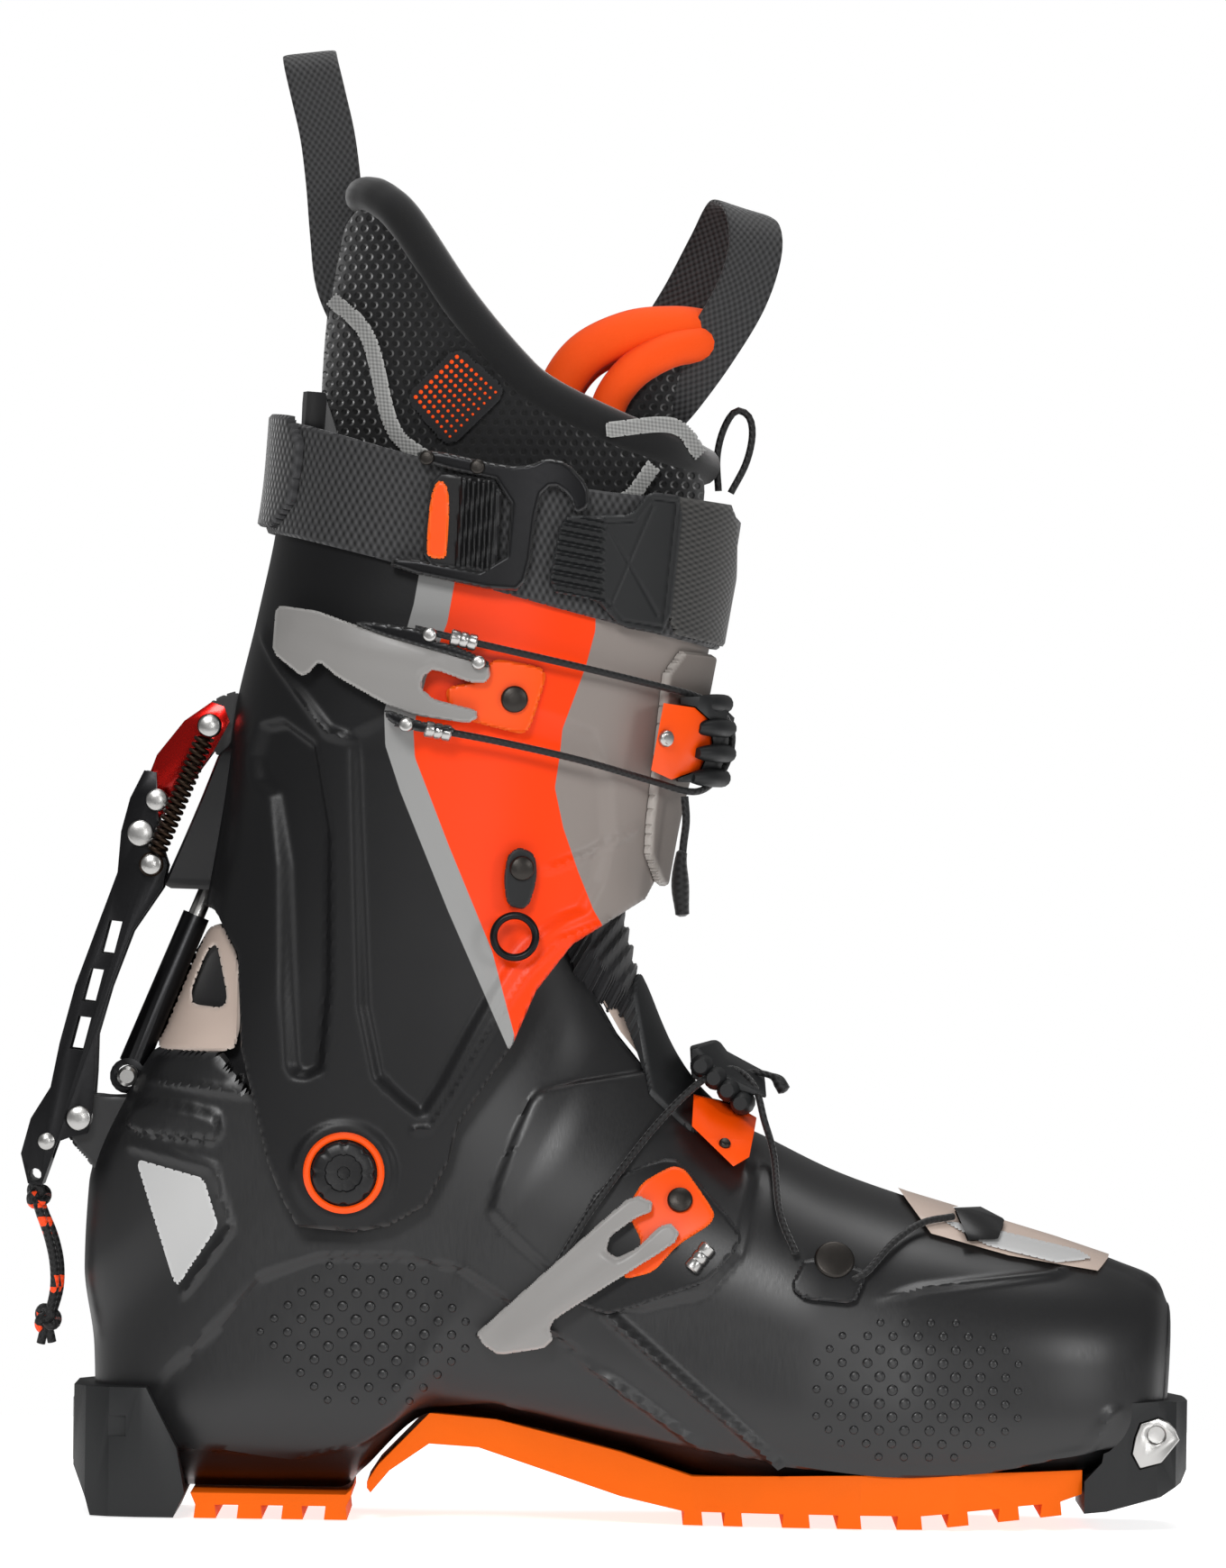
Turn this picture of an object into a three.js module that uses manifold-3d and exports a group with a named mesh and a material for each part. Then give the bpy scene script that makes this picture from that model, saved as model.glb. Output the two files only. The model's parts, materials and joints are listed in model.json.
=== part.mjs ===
// Alpine touring ski boot, right foot, as an assembly of separate pieces.
// Millimetres, +X to the toe, +Y to the inner (medial) side, +Z up; the origin is on the ground
// under the middle of the heel tread. The buckles are on the outer (lateral, -Y) side.
import * as THREE from 'three';
import { mergeVertices } from 'three/addons/utils/BufferGeometryUtils.js';
import Module from 'manifold-3d';

const wasm = await Module();
wasm.setup();

// ---------------------------------------------------------------- driving sizes
const SOLE_LENGTH = 299.4;     // back of the heel block to the tip of the toe block
const CUFF_HEIGHT = 168;       // cuff pivot to the top of the cuff at the calf
const FOREFOOT_WIDTH = 104;    // shell, outside, at the ball of the foot
const LEG_WIDTH = 97;          // cuff, outside, at its top
const SOLE_WIDTH = 70;         // heel and toe ledges that a binding holds
const SHELL_WALL = 3.2;
const CUFF_WALL = 2.8;
const LINER_WALL = 9;
const GAP = 0.35;              // air left between two pieces that touch
const PIVOT = { x: 21, z: 93 };        // cuff pivot
const PIVOT_BOLT_R = 8.6;              // head of the pivot bolt
const PIVOT_SHAFT_R = 5;
const PIVOT_RING_WALL = 2;             // orange ring round the bolt's head
const LOCK_PIN = { x: -50.9, z: 106.1, r: 3.5 };
const STRUT_PIN = { x: -38.4, z: 117.1, r: 2.7 };
const STRUT_ANGLE = 22.2;              // degrees forward of upright
const STRUT_SLEEVE_LENGTH = 47;
const STRUT_SLEEVE_BORE_START = 5.2;   // strut pin to the bottom of the sleeve's bore
const STRUT_SLEEVE_R = 3.7;
const STRUT_ROD_R = 2.3;
const STRUT_ROD_START = 22.5;          // strut pin to the rod's lower end
const STRUT_ROD_REACH = 62;            // strut pin to the rod's top end
const LINK_PIN = { x: -17.3, z: 211.7 };   // red link on the cuff's lug
const LEVER_PIN = { x: -31.2, z: 191.6 };  // walk lever on the red link
const LEVER_EYE = { x: -35.5, z: 182.6 };  // second pin of the walk lever
const SPRING_PIN = { x: -32.4, z: 174.3 };
const SMALL_PIN_R = 2.2;
const EAR_INNER = 4.4;                 // half the slot between the bracket's ears
const EAR_OUTER = 8;
const EYE_R = 4.8;                     // strut's eye
const LINK_INNER = 6.6;                // half the space between the link's plates
const PLATE = 2.4;                     // thickness of link and lever plates
const LUG_HEIGHT = 3.6;                // tread depth
const STRAP_THICKNESS = 2.1;
const CABLE_R = 1.1;
const CORD_R = 1.5;

// The outlines below are drawn for these sizes; footX, legZ and the width terms move them.
const DRAWN = { sole: 299.4, cuff: 168, forefoot: 104, leg: 97, ledge: 70, toeX: 248.4 };
const INSTEP_X = 110;          // the sole grows between here
const TOE_START_X = 212;       // and here, and the toe keeps its shape
const grown = SOLE_LENGTH - DRAWN.sole;
const stretch = (TOE_START_X + grown - INSTEP_X) / (TOE_START_X - INSTEP_X);
const rise = CUFF_HEIGHT / DRAWN.cuff;
const footX = (x) => {
  if (x <= INSTEP_X) return x;
  return x >= TOE_START_X ? x + grown : INSTEP_X + (x - INSTEP_X) * stretch;
};
const legZ = (z) => (z <= PIVOT.z ? z : PIVOT.z + (z - PIVOT.z) * rise);
const foot = (points) => points.map(([x, z]) => [footX(x), legZ(z)]);
const leg = (points) => points.map(([x, z]) => [x, legZ(z)]);
const rear = (p) => ({ ...p, z: legZ(p.z) });
const lockPin = rear(LOCK_PIN);
const strutPin = rear(STRUT_PIN);
const linkPin = rear(LINK_PIN);
const leverPin = rear(LEVER_PIN);
const springPin = rear(SPRING_PIN);
const leverEye = rear(LEVER_EYE);

// ---------------------------------------------------------------- colours and finishes
const finish = (color, roughness, metalness) => ({ color, roughness, metalness });
const FINISH = {
  black: finish(0x2e2e30, 0.5, 0), blackMetal: finish(0x232325, 0.4, 0.7),
  orangePlastic: finish(0xff6a00, 0.35, 0), orangeRubber: finish(0xff8c10, 0.6, 0),
  grey: finish(0xa7a29d, 0.4, 0.1), taupe: finish(0x6f6864, 0.45, 0),
  paleTaupe: finish(0xb3a399, 0.5, 0), red: finish(0xa00000, 0.25, 0.8),
  steel: finish(0xc8c8c8, 0.3, 0.95), bronze: finish(0x3a2c22, 0.4, 0.7),
  fabric: finish(0x161616, 0.9, 0), orangeFabric: finish(0xff5a10, 0.9, 0),
  rubber: finish(0x202020, 0.75, 0),
};

// ---------------------------------------------------------------- solids
/** Closed three.js geometry as a solid that can be cut and joined. */
function solid(geometry) {
  const bare = geometry.clone();
  bare.deleteAttribute('normal');
  bare.deleteAttribute('uv');
  const merged = mergeVertices(bare, 1e-4);
  return new wasm.Manifold(new wasm.Mesh({
    numProp: 3,
    vertProperties: new Float32Array(merged.attributes.position.array),
    triVerts: new Uint32Array(merged.index.array),
  }));
}
/** Solid back to a three.js geometry. */
function geometryOf(body) {
  const { vertProperties, triVerts } = body.getMesh();
  const geometry = new THREE.BufferGeometry();
  geometry.setAttribute('position', new THREE.BufferAttribute(vertProperties, 3));
  geometry.setIndex(new THREE.BufferAttribute(triVerts, 1));
  geometry.computeVertexNormals();
  return geometry;
}
const join = (first, ...rest) => rest.reduce((a, b) => a.add(b), first);
const cut = (first, ...rest) => rest.reduce((a, b) => a.subtract(b), first);
const common = (first, ...rest) => rest.reduce((a, b) => a.intersect(b), first);
/** Largest of the loose bodies that a cut leaves. */
function largest(body) {
  const pieces = body.decompose();
  return pieces.reduce((a, b) => (b.volume() > a.volume() ? b : a));
}

/** Side outline [x, z] swept from y0 to y1. */
function prism(outline, y0, y1) {
  const shape = new THREE.Shape(outline.map(([x, z]) => new THREE.Vector2(x, z)));
  const geometry = new THREE.ExtrudeGeometry(shape, { depth: y1 - y0, bevelEnabled: false });
  return solid(geometry.rotateX(Math.PI / 2).translate(0, y1, 0));
}
/** Plan outline [x, y] swept from z0 to z1. */
function slab(outline, z0, z1) {
  const shape = new THREE.Shape(outline.map(([x, y]) => new THREE.Vector2(x, y)));
  const geometry = new THREE.ExtrudeGeometry(shape, { depth: z1 - z0, bevelEnabled: false });
  return solid(geometry.translate(0, 0, z0));
}
const circle = (x, z, r, n = 16) => Array.from({ length: n }, (_, k) => {
  const t = (2 * Math.PI * (k + 0.5)) / n;
  return [x + r * Math.cos(t), z + r * Math.sin(t)];
});
const disc = (x, z, r, y0, y1, n = 20) => prism(circle(x, z, r, n), y0, y1);
/** Outline moved outward by d (inward when d is negative). */
function grow(outline, d) {
  const n = outline.length;
  const area = outline.reduce((s, [x, z], k) => {
    const [u, v] = outline[(k + 1) % n];
    return s + x * v - u * z;
  }, 0);
  const side = Math.sign(area) * d;
  return outline.map(([x, z], k) => {
    const [px, pz] = outline[(k + n - 1) % n];
    const [qx, qz] = outline[(k + 1) % n];
    const a = new THREE.Vector2(z - pz, px - x).normalize();
    const b = new THREE.Vector2(qz - z, x - qx).normalize();
    const scale = side / Math.max(0.35, 1 + a.dot(b));
    return [x + (a.x + b.x) * scale, z + (a.y + b.y) * scale];
  });
}
/** Closed rings of equal point counts skinned into one closed solid. */
function loft(rings) {
  const n = rings[0].length;
  const positions = rings.flat().flatMap((p) => [p.x, p.y, p.z]);
  const index = [];
  for (let r = 0; r + 1 < rings.length; r += 1) {
    for (let k = 0; k < n; k += 1) {
      const a = r * n + k;
      const b = r * n + ((k + 1) % n);
      index.push(a, b, a + n, b, b + n, a + n);
    }
  }
  for (const [ring, flip] of [[0, true], [rings.length - 1, false]]) {
    const centre = rings[ring].reduce((s, p) => s.add(p), new THREE.Vector3()).divideScalar(n);
    const c = positions.length / 3;
    positions.push(centre.x, centre.y, centre.z);
    for (let k = 0; k < n; k += 1) {
      const a = ring * n + k;
      const b = ring * n + ((k + 1) % n);
      index.push(...(flip ? [b, a, c] : [a, b, c]));
    }
  }
  const geometry = new THREE.BufferGeometry();
  geometry.setAttribute('position', new THREE.Float32BufferAttribute(positions, 3));
  geometry.setIndex(index);
  return solid(geometry);
}
/** Round bar through the points. */
function tube(points, radius, steps = 24, sides = 8, closed = false) {
  const path = new THREE.CatmullRomCurve3(points.map((p) => new THREE.Vector3(...p)), closed);
  const section = new THREE.Shape(circle(0, 0, radius, sides).map((p) => new THREE.Vector2(...p)));
  return new THREE.ExtrudeGeometry(section, { steps, bevelEnabled: false, extrudePath: path });
}
/** Round bar between two points, with a radius at each end. */
function taper(from, to, r0, r1, sides = 12) {
  const a = new THREE.Vector3(...from);
  const b = new THREE.Vector3(...to);
  const along = b.clone().sub(a);
  const geometry = new THREE.CylinderGeometry(r1, r0, along.length(), sides);
  geometry.applyQuaternion(new THREE.Quaternion().setFromUnitVectors(
    new THREE.Vector3(0, 1, 0), along.clone().normalize()));
  return geometry.translate(...a.add(b).multiplyScalar(0.5).toArray());
}

// ---------------------------------------------------------------- shell and cuff surfaces
// Each station is a ring in the plane through its back/bottom point a and front/top point b and
// the Y direction: half width goes from wa at a to wb at b, and pa, pb set how square each end is.
const station = (ax, az, bx, bz, wa, wb, pa, pb) => ({ a: [ax, az], b: [bx, bz], wa, wb, pa, pb });
function ring({ a, b, wa, wb, pa, pb }, offset, sides) {
  const along = new THREE.Vector2(b[0] - a[0], b[1] - a[1]);
  const half = along.length() / 2 + offset;
  along.normalize();
  const middle = [(a[0] + b[0]) / 2, (a[1] + b[1]) / 2];
  return Array.from({ length: sides }, (_, k) => {
    const t = (2 * Math.PI * k) / sides;
    const [c, s] = [Math.cos(t), Math.sin(t)];
    const power = 2 / (c > 0 ? pb : pa);
    const u = Math.sign(c) * Math.abs(c) ** power;
    const width = wa + ((wb - wa) * (1 + u)) / 2 + offset;
    const y = width * Math.sign(s) * Math.abs(s) ** power;
    return new THREE.Vector3(middle[0] + along.x * half * u, y, middle[1] + along.y * half * u);
  });
}
/** Solid inside the stations' surface moved outward by offset; its ends move out with it. */
function surface(stations, offset, sides, ends = offset) {
  const rings = stations.map((s) => ring(s, offset, sides));
  const centre = (r) => r.reduce((s, p) => s.add(p), new THREE.Vector3()).divideScalar(r.length);
  for (const [end, next] of [[0, 1], [rings.length - 1, rings.length - 2]]) {
    const out = centre(rings[end]).sub(centre(rings[next])).normalize().multiplyScalar(ends);
    rings[end].forEach((p) => p.add(out));
  }
  return loft(rings);
}

const TOE_LEDGE_X = 225;       // forward of here the shell follows the ledge's width
const ledgeTerm = (x) => (x > TOE_LEDGE_X ? (SOLE_WIDTH - DRAWN.ledge) / 2 : 0);
const forefootTerm = (x) => (x > TOE_LEDGE_X ? 0 : THREE.MathUtils.smoothstep(x, 50, 150)
  * ((FOREFOOT_WIDTH - DRAWN.forefoot) / 2));
const legTerm = (LEG_WIDTH - DRAWN.leg) / 2;
const shellStations = [
  [240.5, 22, 242.5, 60, 20, 15, 3.6, 2.5], [236.5, 17.5, 239.5, 66, 30, 23, 3.6, 2.5],
  [226, 14.3, 229, 70.5, 38.5, 31, 3.6, 2.4], [208, 10.6, 212, 76, 45.5, 38, 3.6, 2.3],
  [188, 7.4, 193, 81.5, 49.5, 42, 3.6, 2.2], [165, 5.8, 172, 87.5, 52, 44, 3.6, 2.2],
  [143, 6.2, 153, 94, 51, 44, 3.6, 2.2], [118, 10.4, 135, 102.5, 47, 42, 3.6, 2.2],
  [95, 18, 119, 110.5, 43.5, 39, 3.6, 2.2], [70, 24.3, 109, 121.5, 41, 37, 3.6, 2.2],
  [46, 27.6, 100, 133, 39.5, 36.5, 3.6, 2.2], [27, 12.5, 94, 142.5, 38.5, 36.5, 3.6, 2.2],
  [20, 7, 90, 150.5, 37.5, 36.5, 3.6, 2.2], [0, 7, 87, 158, 36, 36.5, 3.6, 2.2],
  [-22, 7.2, 85, 164, 34.5, 36.5, 3.4, 2.2], [-40, 9, 84, 169, 32, 36.5, 3, 2.2],
  [-45.5, 22, 84, 173, 31, 36.5, 2.7, 2.2], [-46.5, 45, 84, 177, 31, 36.5, 2.4, 2.2],
  [-49.4, 66, 84, 181, 31, 36.5, 2.3, 2.2], [-48.5, 88, 84, 185, 31, 36.5, 2.3, 2.2],
  [-38.5, 113, 84, 189, 32, 36.5, 2.3, 2.2], [-30, 128, 84.5, 193, 32, 36.5, 2.3, 2.2],
  [-21, 150, 85, 197, 32, 36.5, 2.3, 2.2], [-15.5, 163, 85.5, 201, 32, 36.5, 2.3, 2.2],
].map(([ax, az, bx, bz, wa, wb, pa, pb]) => station(
  footX(ax), legZ(az), footX(bx), legZ(bz), wa + forefootTerm(ax) + ledgeTerm(ax),
  wb + forefootTerm(ax) + ledgeTerm(ax), pa, pb));
const cuffStations = [
  [-40, 66, 88, 66, 43, 43, 3, 3], [-34, 100, 92, 100, 43.5, 43.5, 3, 3],
  [-27, 130, 96, 130, 44, 44, 2.9, 2.9], [-21, 150, 99.5, 150, 44.5, 43.5, 2.7, 2.7],
  [-17, 170, 103.5, 168, 45, 43, 2.6, 2.5], [-14, 190, 107, 188, 46, 43, 2.5, 2.4],
  [-11, 215, 112.5, 212, 47, 43.5, 2.5, 2.3], [-5.5, 240, 116, 231, 48, 44, 2.5, 2.3],
  [-1, 262, 118.5, 246, 48.5, 44.5, 2.4, 2.3], [1, 276, 120.5, 258, 48.5, 45, 2.4, 2.3],
  [3, 306, 125, 290, 48.5, 46, 2.4, 2.3],
].map(([ax, az, bx, bz, wa, wb, pa, pb]) => station(
  ax, legZ(az), bx, legZ(bz), wa + legTerm, wb + legTerm, pa, pb));
const linerLegStations = [
  [-2, 156, 88, 163, 34, 34, 2.4, 2.3], [-3, 180, 97, 180, 38, 36, 2.4, 2.3],
  [-3, 200, 102, 200, 40.5, 38, 2.4, 2.3], [-1, 222, 106, 218, 41.5, 39, 2.4, 2.3],
  [3, 243, 109.5, 236, 43, 40, 2.4, 2.3], [6.5, 262, 112, 254, 43.5, 40.5, 2.4, 2.3],
  [10.5, 285, 115, 272, 43.5, 41, 2.4, 2.3], [11, 309, 118, 288, 43, 41, 2.4, 2.3],
  [12.5, 330, 124, 305, 42.5, 41, 2.4, 2.3], [17, 358, 130, 332, 41.5, 40, 2.4, 2.3],
].map(([ax, az, bx, bz, wa, wb, pa, pb]) => station(
  ax, legZ(az), bx, legZ(bz), wa + legTerm, wb + legTerm, pa, pb));

const SIDES = 24;
const LINER_SIDES = 18;
const LINER_FOOT_SIDES = 14;
const cache = new Map();
/** Shell or cuff surface moved outward by offset. */
function around(name, offset) {
  const key = `${name}${offset}`;
  const stations = { shell: shellStations, cuff: cuffStations, liner: linerLegStations }[name];
  if (!cache.has(key)) {
    cache.set(key, surface(stations, offset, name === 'liner' ? LINER_SIDES : SIDES));
  }
  return cache.get(key);
}
/** Piece that lies on a surface: the side outline between two offsets from it. */
function skin(name, outline, inner, outer, y0 = -90, y1 = 0) {
  return cut(common(prism(outline, y0, y1), around(name, outer)), around(name, inner));
}
const rayMeshes = new Map();
/** y of the lateral surface at a side position, moved outward by offset. */
function lateralY(name, x, z, offset = 0) {
  const key = `${name}${offset}`;
  if (!rayMeshes.has(key)) rayMeshes.set(key, new THREE.Mesh(geometryOf(around(name, offset))));
  const ray = new THREE.Raycaster(new THREE.Vector3(x, -200, z), new THREE.Vector3(0, 1, 0));
  return ray.intersectObject(rayMeshes.get(key))[0].point.y;
}

// ---------------------------------------------------------------- the group
const boot = new THREE.Group();
boot.name = 'alpine_touring_boot';
function add(name, shape, { color, roughness, metalness }) {
  const geometry = shape.isBufferGeometry ? shape : geometryOf(shape);
  const material = new THREE.MeshStandardMaterial({ color, roughness, metalness });
  const mesh = new THREE.Mesh(geometry, material);
  mesh.name = name;
  boot.add(mesh);
}

// ---------------------------------------------------------------- lower shell
const BRACKET = leg([[-24, 112.6], [-33, 113], [-41, 111.6], [-47.5, 112.4], [-50.9, 111.5],
  [-54.7, 109.9], [-56.3, 106.1], [-55.7, 103.2], [-52, 97.5], [-47.5, 93], [-44, 84],
  [-30, 84]]);
const STRUT_SLOT = leg([[-60, 119], [-60, 135], [-8, 135], [-12, 122], [-30, 110.5],
  [-44, 110.5]]);
const SHELL_KEPT = foot([[-75, -10], [275, -10], [275, 112], [126, 112], [115, 106.5],
  [105.6, 116], [93.6, 130.5], [84, 147], [78, 156.3], [72, 150], [60, 130], [45, 118], [20, 113],
  [-5, 114], [-14, 124], [-60, 124]]);
const FLOOR = foot([[-60, -10], [275, -10], [275, 16], [200, 14], [150, 13], [115, 18], [60, 33],
  [20, 26], [-60, 26]]);
const shellInside = cut(around('shell', -SHELL_WALL), prism(FLOOR, -70, 70));
const pivotHole = disc(PIVOT.x, PIVOT.z, PIVOT_SHAFT_R + GAP, -70, 70);
const lowerShell = cut(
  common(join(around('shell', 0), prism(BRACKET, -EAR_OUTER, EAR_OUTER)),
    prism(SHELL_KEPT, -80, 80)),
  shellInside, prism(STRUT_SLOT, -EAR_INNER, EAR_INNER), pivotHole,
  disc(lockPin.x, lockPin.z, lockPin.r + GAP, -20, 20, 14),
  disc(strutPin.x, strutPin.z, strutPin.r + GAP, -20, 20, 14));
add('lower_shell', largest(lowerShell), FINISH.black);
for (const [name, pin] of [['lock_pin', lockPin], ['strut_pin', strutPin]]) {
  add(name, disc(pin.x, pin.z, pin.r, -EAR_OUTER - 1.4, EAR_OUTER + 1.4, 14), FINISH.steel);
}

// Rear gusset: two soft cheeks beside the strut, joined below it.
const GUSSET = leg([[-13.4, 158.6], [-17, 157.6], [-21, 150.3], [-30.5, 128], [-32.5, 124.5],
  [-9, 124.5], [-7.5, 132], [-8.5, 150]]);
const GUSSET_BRIDGE = leg([[-21, 124.5], [-21, 128], [-10, 128], [-10, 124.5]]);
const GUSSET_INSET = 1.2;      // gusset below the shell's surface, so the cuff swings over it
const gussetWall = cut(around('shell', -GUSSET_INSET), around('shell', -SHELL_WALL - GUSSET_INSET));
const gussetGap = prism(leg([[-50, 120], [-50, 175], [8, 175], [8, 120]]),
  -EAR_INNER - 0.6, EAR_INNER + 0.6);
const gussetCheeks = cut(common(gussetWall, prism(GUSSET, -60, 60)), gussetGap);
add('rear_gusset', largest(join(gussetCheeks, common(prism(GUSSET_BRIDGE, -30, 30),
  around('shell', -SHELL_WALL)))), FINISH.paleTaupe);

// Throat: overlap flap of the lower shell and the stretch gaiter behind it.
const throatFlap = foot([[78, 158], [83, 158], [97.5, 138.5], [111.5, 124.5], [117, 116],
  [116, 108], [106.2, 116.6], [94.2, 131.1], [84.6, 147.4], [78.8, 156.8]]);
add('throat_flap', largest(common(cut(around('shell', -0.6), around('shell', -2.8)),
  prism(throatFlap, -60, 60))), FINISH.taupe);
const gaiter = foot([[84.5, 157], [88, 166], [98.5, 167], [100.5, 152], [104, 137],
  [109, 129.5], [111, 126.5], [98.6, 138]]);
add('throat_gaiter', largest(cut(common(prism(gaiter, -27, 27), around('shell', 14)),
  around('shell', -2.4), around('liner', GAP))), FINISH.fabric);

// ---------------------------------------------------------------- soles
const halfSole = SOLE_WIDTH / 2;
const mirrored = (points) => [...points, ...points.slice().reverse().map(([x, y]) => [x, -y])]
  .filter(([, y], k, all) => !(y === 0 && k > 0 && all[k - 1][1] === 0));
const HEEL_PLAN = mirrored([[-51, halfSole - 17], [-47.5, halfSole - 7.5], [-41, halfSole - 2],
  [-33, halfSole], [24, halfSole]]);
/** Row of tread blocks along an underside, as a side outline. */
function treadOutline(top, underside, lugs) {
  const lower = [];
  for (const [x0, x1] of lugs) {
    lower.push([x0 + 0.4, underside(x0) + LUG_HEIGHT], [x0, underside(x0)], [x1, underside(x1)],
      [x1 - 0.4, underside(x1) + LUG_HEIGHT]);
  }
  return [...top, ...lower];
}
const heelTop = [[26, 10], [22.5, 6.8], [-19, 6.8]];
const heelBlock = cut(common(prism([[-51, 34.6], [-51, 13], [-47.5, 5], [-46, 0], [-23.5, 0],
  [-20.6, 6.6], [-22.8, 18.4], [-31.2, 34.6]], -60, 60), slab(HEEL_PLAN, -1, 60)),
around('shell', GAP));
const INSERT_HALF = 13;
const heelInsertSeat = prism([[-60, 13.4], [-60, 31.4], [-48.4, 31.4], [-48.4, 13.4]],
  -INSERT_HALF - GAP, INSERT_HALF + GAP);
const sideRecess = prism([[-47, 21.5], [-36.5, 21.5], [-36.5, 27], [-47, 27]], -70, -halfSole + 2.2);
add('heel_block', largest(cut(heelBlock, heelInsertSeat, sideRecess)), FINISH.rubber);
add('heel_tech_insert', cut(prism([[-51.4, 14], [-51.4, 31], [-48.8, 31], [-48.8, 14]],
  -INSERT_HALF, INSERT_HALF), disc(-60, 0, 1, 0, 1), solid(new THREE.BoxGeometry(12, 3, 12)
  .translate(-50, -7.5, 22)), solid(new THREE.BoxGeometry(12, 3, 12).translate(-50, 7.5, 22))),
FINISH.steel);
const heelTread = treadOutline(heelTop, () => 0,
  [[-18, -12], [-6.5, 0.3], [5.4, 11.2], [16.8, 23]]);
add('heel_outsole', largest(cut(common(prism(heelTread, -60, 60), slab(HEEL_PLAN, -5, 40)),
  around('shell', GAP))), FINISH.orangeRubber);

const forePlan = mirrored([[28, 27], [60, 26], [90, 30], [115, 36], [135, 41.5], [160, 44.5],
  [185, 43], [205, 38], [219.2, 32]].map(([x, y]) => [footX(x), y + forefootTerm(x) * 0.9]));
const foreUnderside = (x) => Math.max(0, (x - footX(176)) * 0.105);
const foreLugs = [[112.6, 118], [123.4, 128.6], [139, 146.5], [153.6, 160.2], [169.5, 176.4],
  [183, 188.8], [196.6, 202.4], [208, 213.8]].map((pair) => pair.map(footX));
const archTop = foot([[219.2, 16], [219.2, 9.6]]).reverse();
const forefootTread = [...foot([[27.4, 9], [31, 14.5], [44.5, 28.5], [62.4, 27], [96, 19], [115, 13]]),
  ...archTop.reverse(), ...treadOutline([], foreUnderside, foreLugs).reverse(),
  ...foot([[96, 7.2], [76.8, 13.2], [57.6, 19.5], [44.5, 20.3], [34, 13], [29, 7]])];
add('forefoot_outsole', largest(cut(common(prism(forefootTread, -60, 60),
  slab(forePlan, -5, 40)), around('shell', GAP))), FINISH.orangeRubber);

const toeX = footX(DRAWN.toeX);
const toePlan = mirrored([[-29, halfSole - 1], [-17.5, halfSole - 2.2], [-9, halfSole - 4],
  [-4, halfSole - 8.5], [-0.8, halfSole - 17], [0, 0]].map(([x, y]) => [toeX + x, y]));
const toeBlockSide = [[-7, 34.6], [-0.4, 34], [0, 17.5], [-2.4, 12.5], [-8, 9], [-22.6, 5],
  [-28.6, 4.4], [-28.6, 13], [-24, 18], [-22, 30], [-17, 34]].map(([x, z]) => [toeX + x, z]);
const toeInsert = [[-9, 30.1], [-13.8, 28.6], [-15.2, 24.8], [-16, 20.5], [-13.8, 16.6],
  [-8.1, 18.2], [-3.2, 24.5], [-4.4, 27.2], [-6.1, 29.1]].map(([x, z]) => [toeX + x, z]);
const INSERT_FACE = halfSole - 3;
const socket = disc(toeX - 9.5, 25.6, 2.5, -60, 60, 14);
const socketBridge = common(socket, prism(toeInsert, -INSERT_FACE + 1.6, INSERT_FACE - 1.6));
add('toe_block', largest(cut(common(prism(toeBlockSide, -60, 60), slab(toePlan, -1, 60)),
  around('shell', GAP), prism(grow(toeInsert, GAP), -60, -INSERT_FACE + 2 + GAP),
  prism(grow(toeInsert, GAP), INSERT_FACE - 2 - GAP, 60))), FINISH.rubber);
for (const [name, sign] of [['toe_insert_lateral', -1], ['toe_insert_medial', 1]]) {
  const faces = [sign * INSERT_FACE, sign * (INSERT_FACE - 2)].sort((a, b) => a - b);
  add(name, cut(prism(toeInsert, ...faces), cut(socket, socketBridge)), FINISH.steel);
}

// ---------------------------------------------------------------- inside the shell
const boardTop = foot([[-38, 30.5], [20, 30.5], [62, 37.5], [115, 22], [150, 17.5], [212, 18.5]]);
const board = [...foot([[212, 15], [150, 13.5], [115, 18.5], [60, 33.5], [20, 26.6], [-38, 26.6]]),
  ...boardTop];
add('boot_board', largest(common(prism(board, -60, 60), around('shell', -SHELL_WALL - 2))),
  FINISH.rubber);
const LINER_ARC = 52;          // liner foot ends this far from the pivot, so the leg can swing
const footPad = foot([[-60, 31], [20, 31], [62, 38], [115, 22.6], [150, 18], [212, 19], [275, 25],
  [275, 110], [104, 112], [84, 132], [66, 144], [40, 146], [5, 146], [-60, 146]]);
const linerFoot = common(cut(surface(shellStations, -SHELL_WALL - 1.2, LINER_FOOT_SIDES),
  surface(shellStations, -SHELL_WALL - 7, LINER_FOOT_SIDES)), prism(footPad, -60, 60));
const ankleSwing = disc(PIVOT.x, legZ(PIVOT.z), LINER_ARC, -60, 60, 40);
const linerFootKept = prism(foot([[-60, 0], [275, 0], [275, 112], [104, 112], [84, 132],
  [60, 126], [30, 118], [-60, 118]]), -60, 60);
add('liner_foot', largest(cut(common(linerFoot, linerFootKept),
  disc(strutPin.x, strutPin.z, EYE_R + 2.4, -EAR_INNER - 1.6, EAR_INNER + 1.6))), FINISH.fabric);

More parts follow.
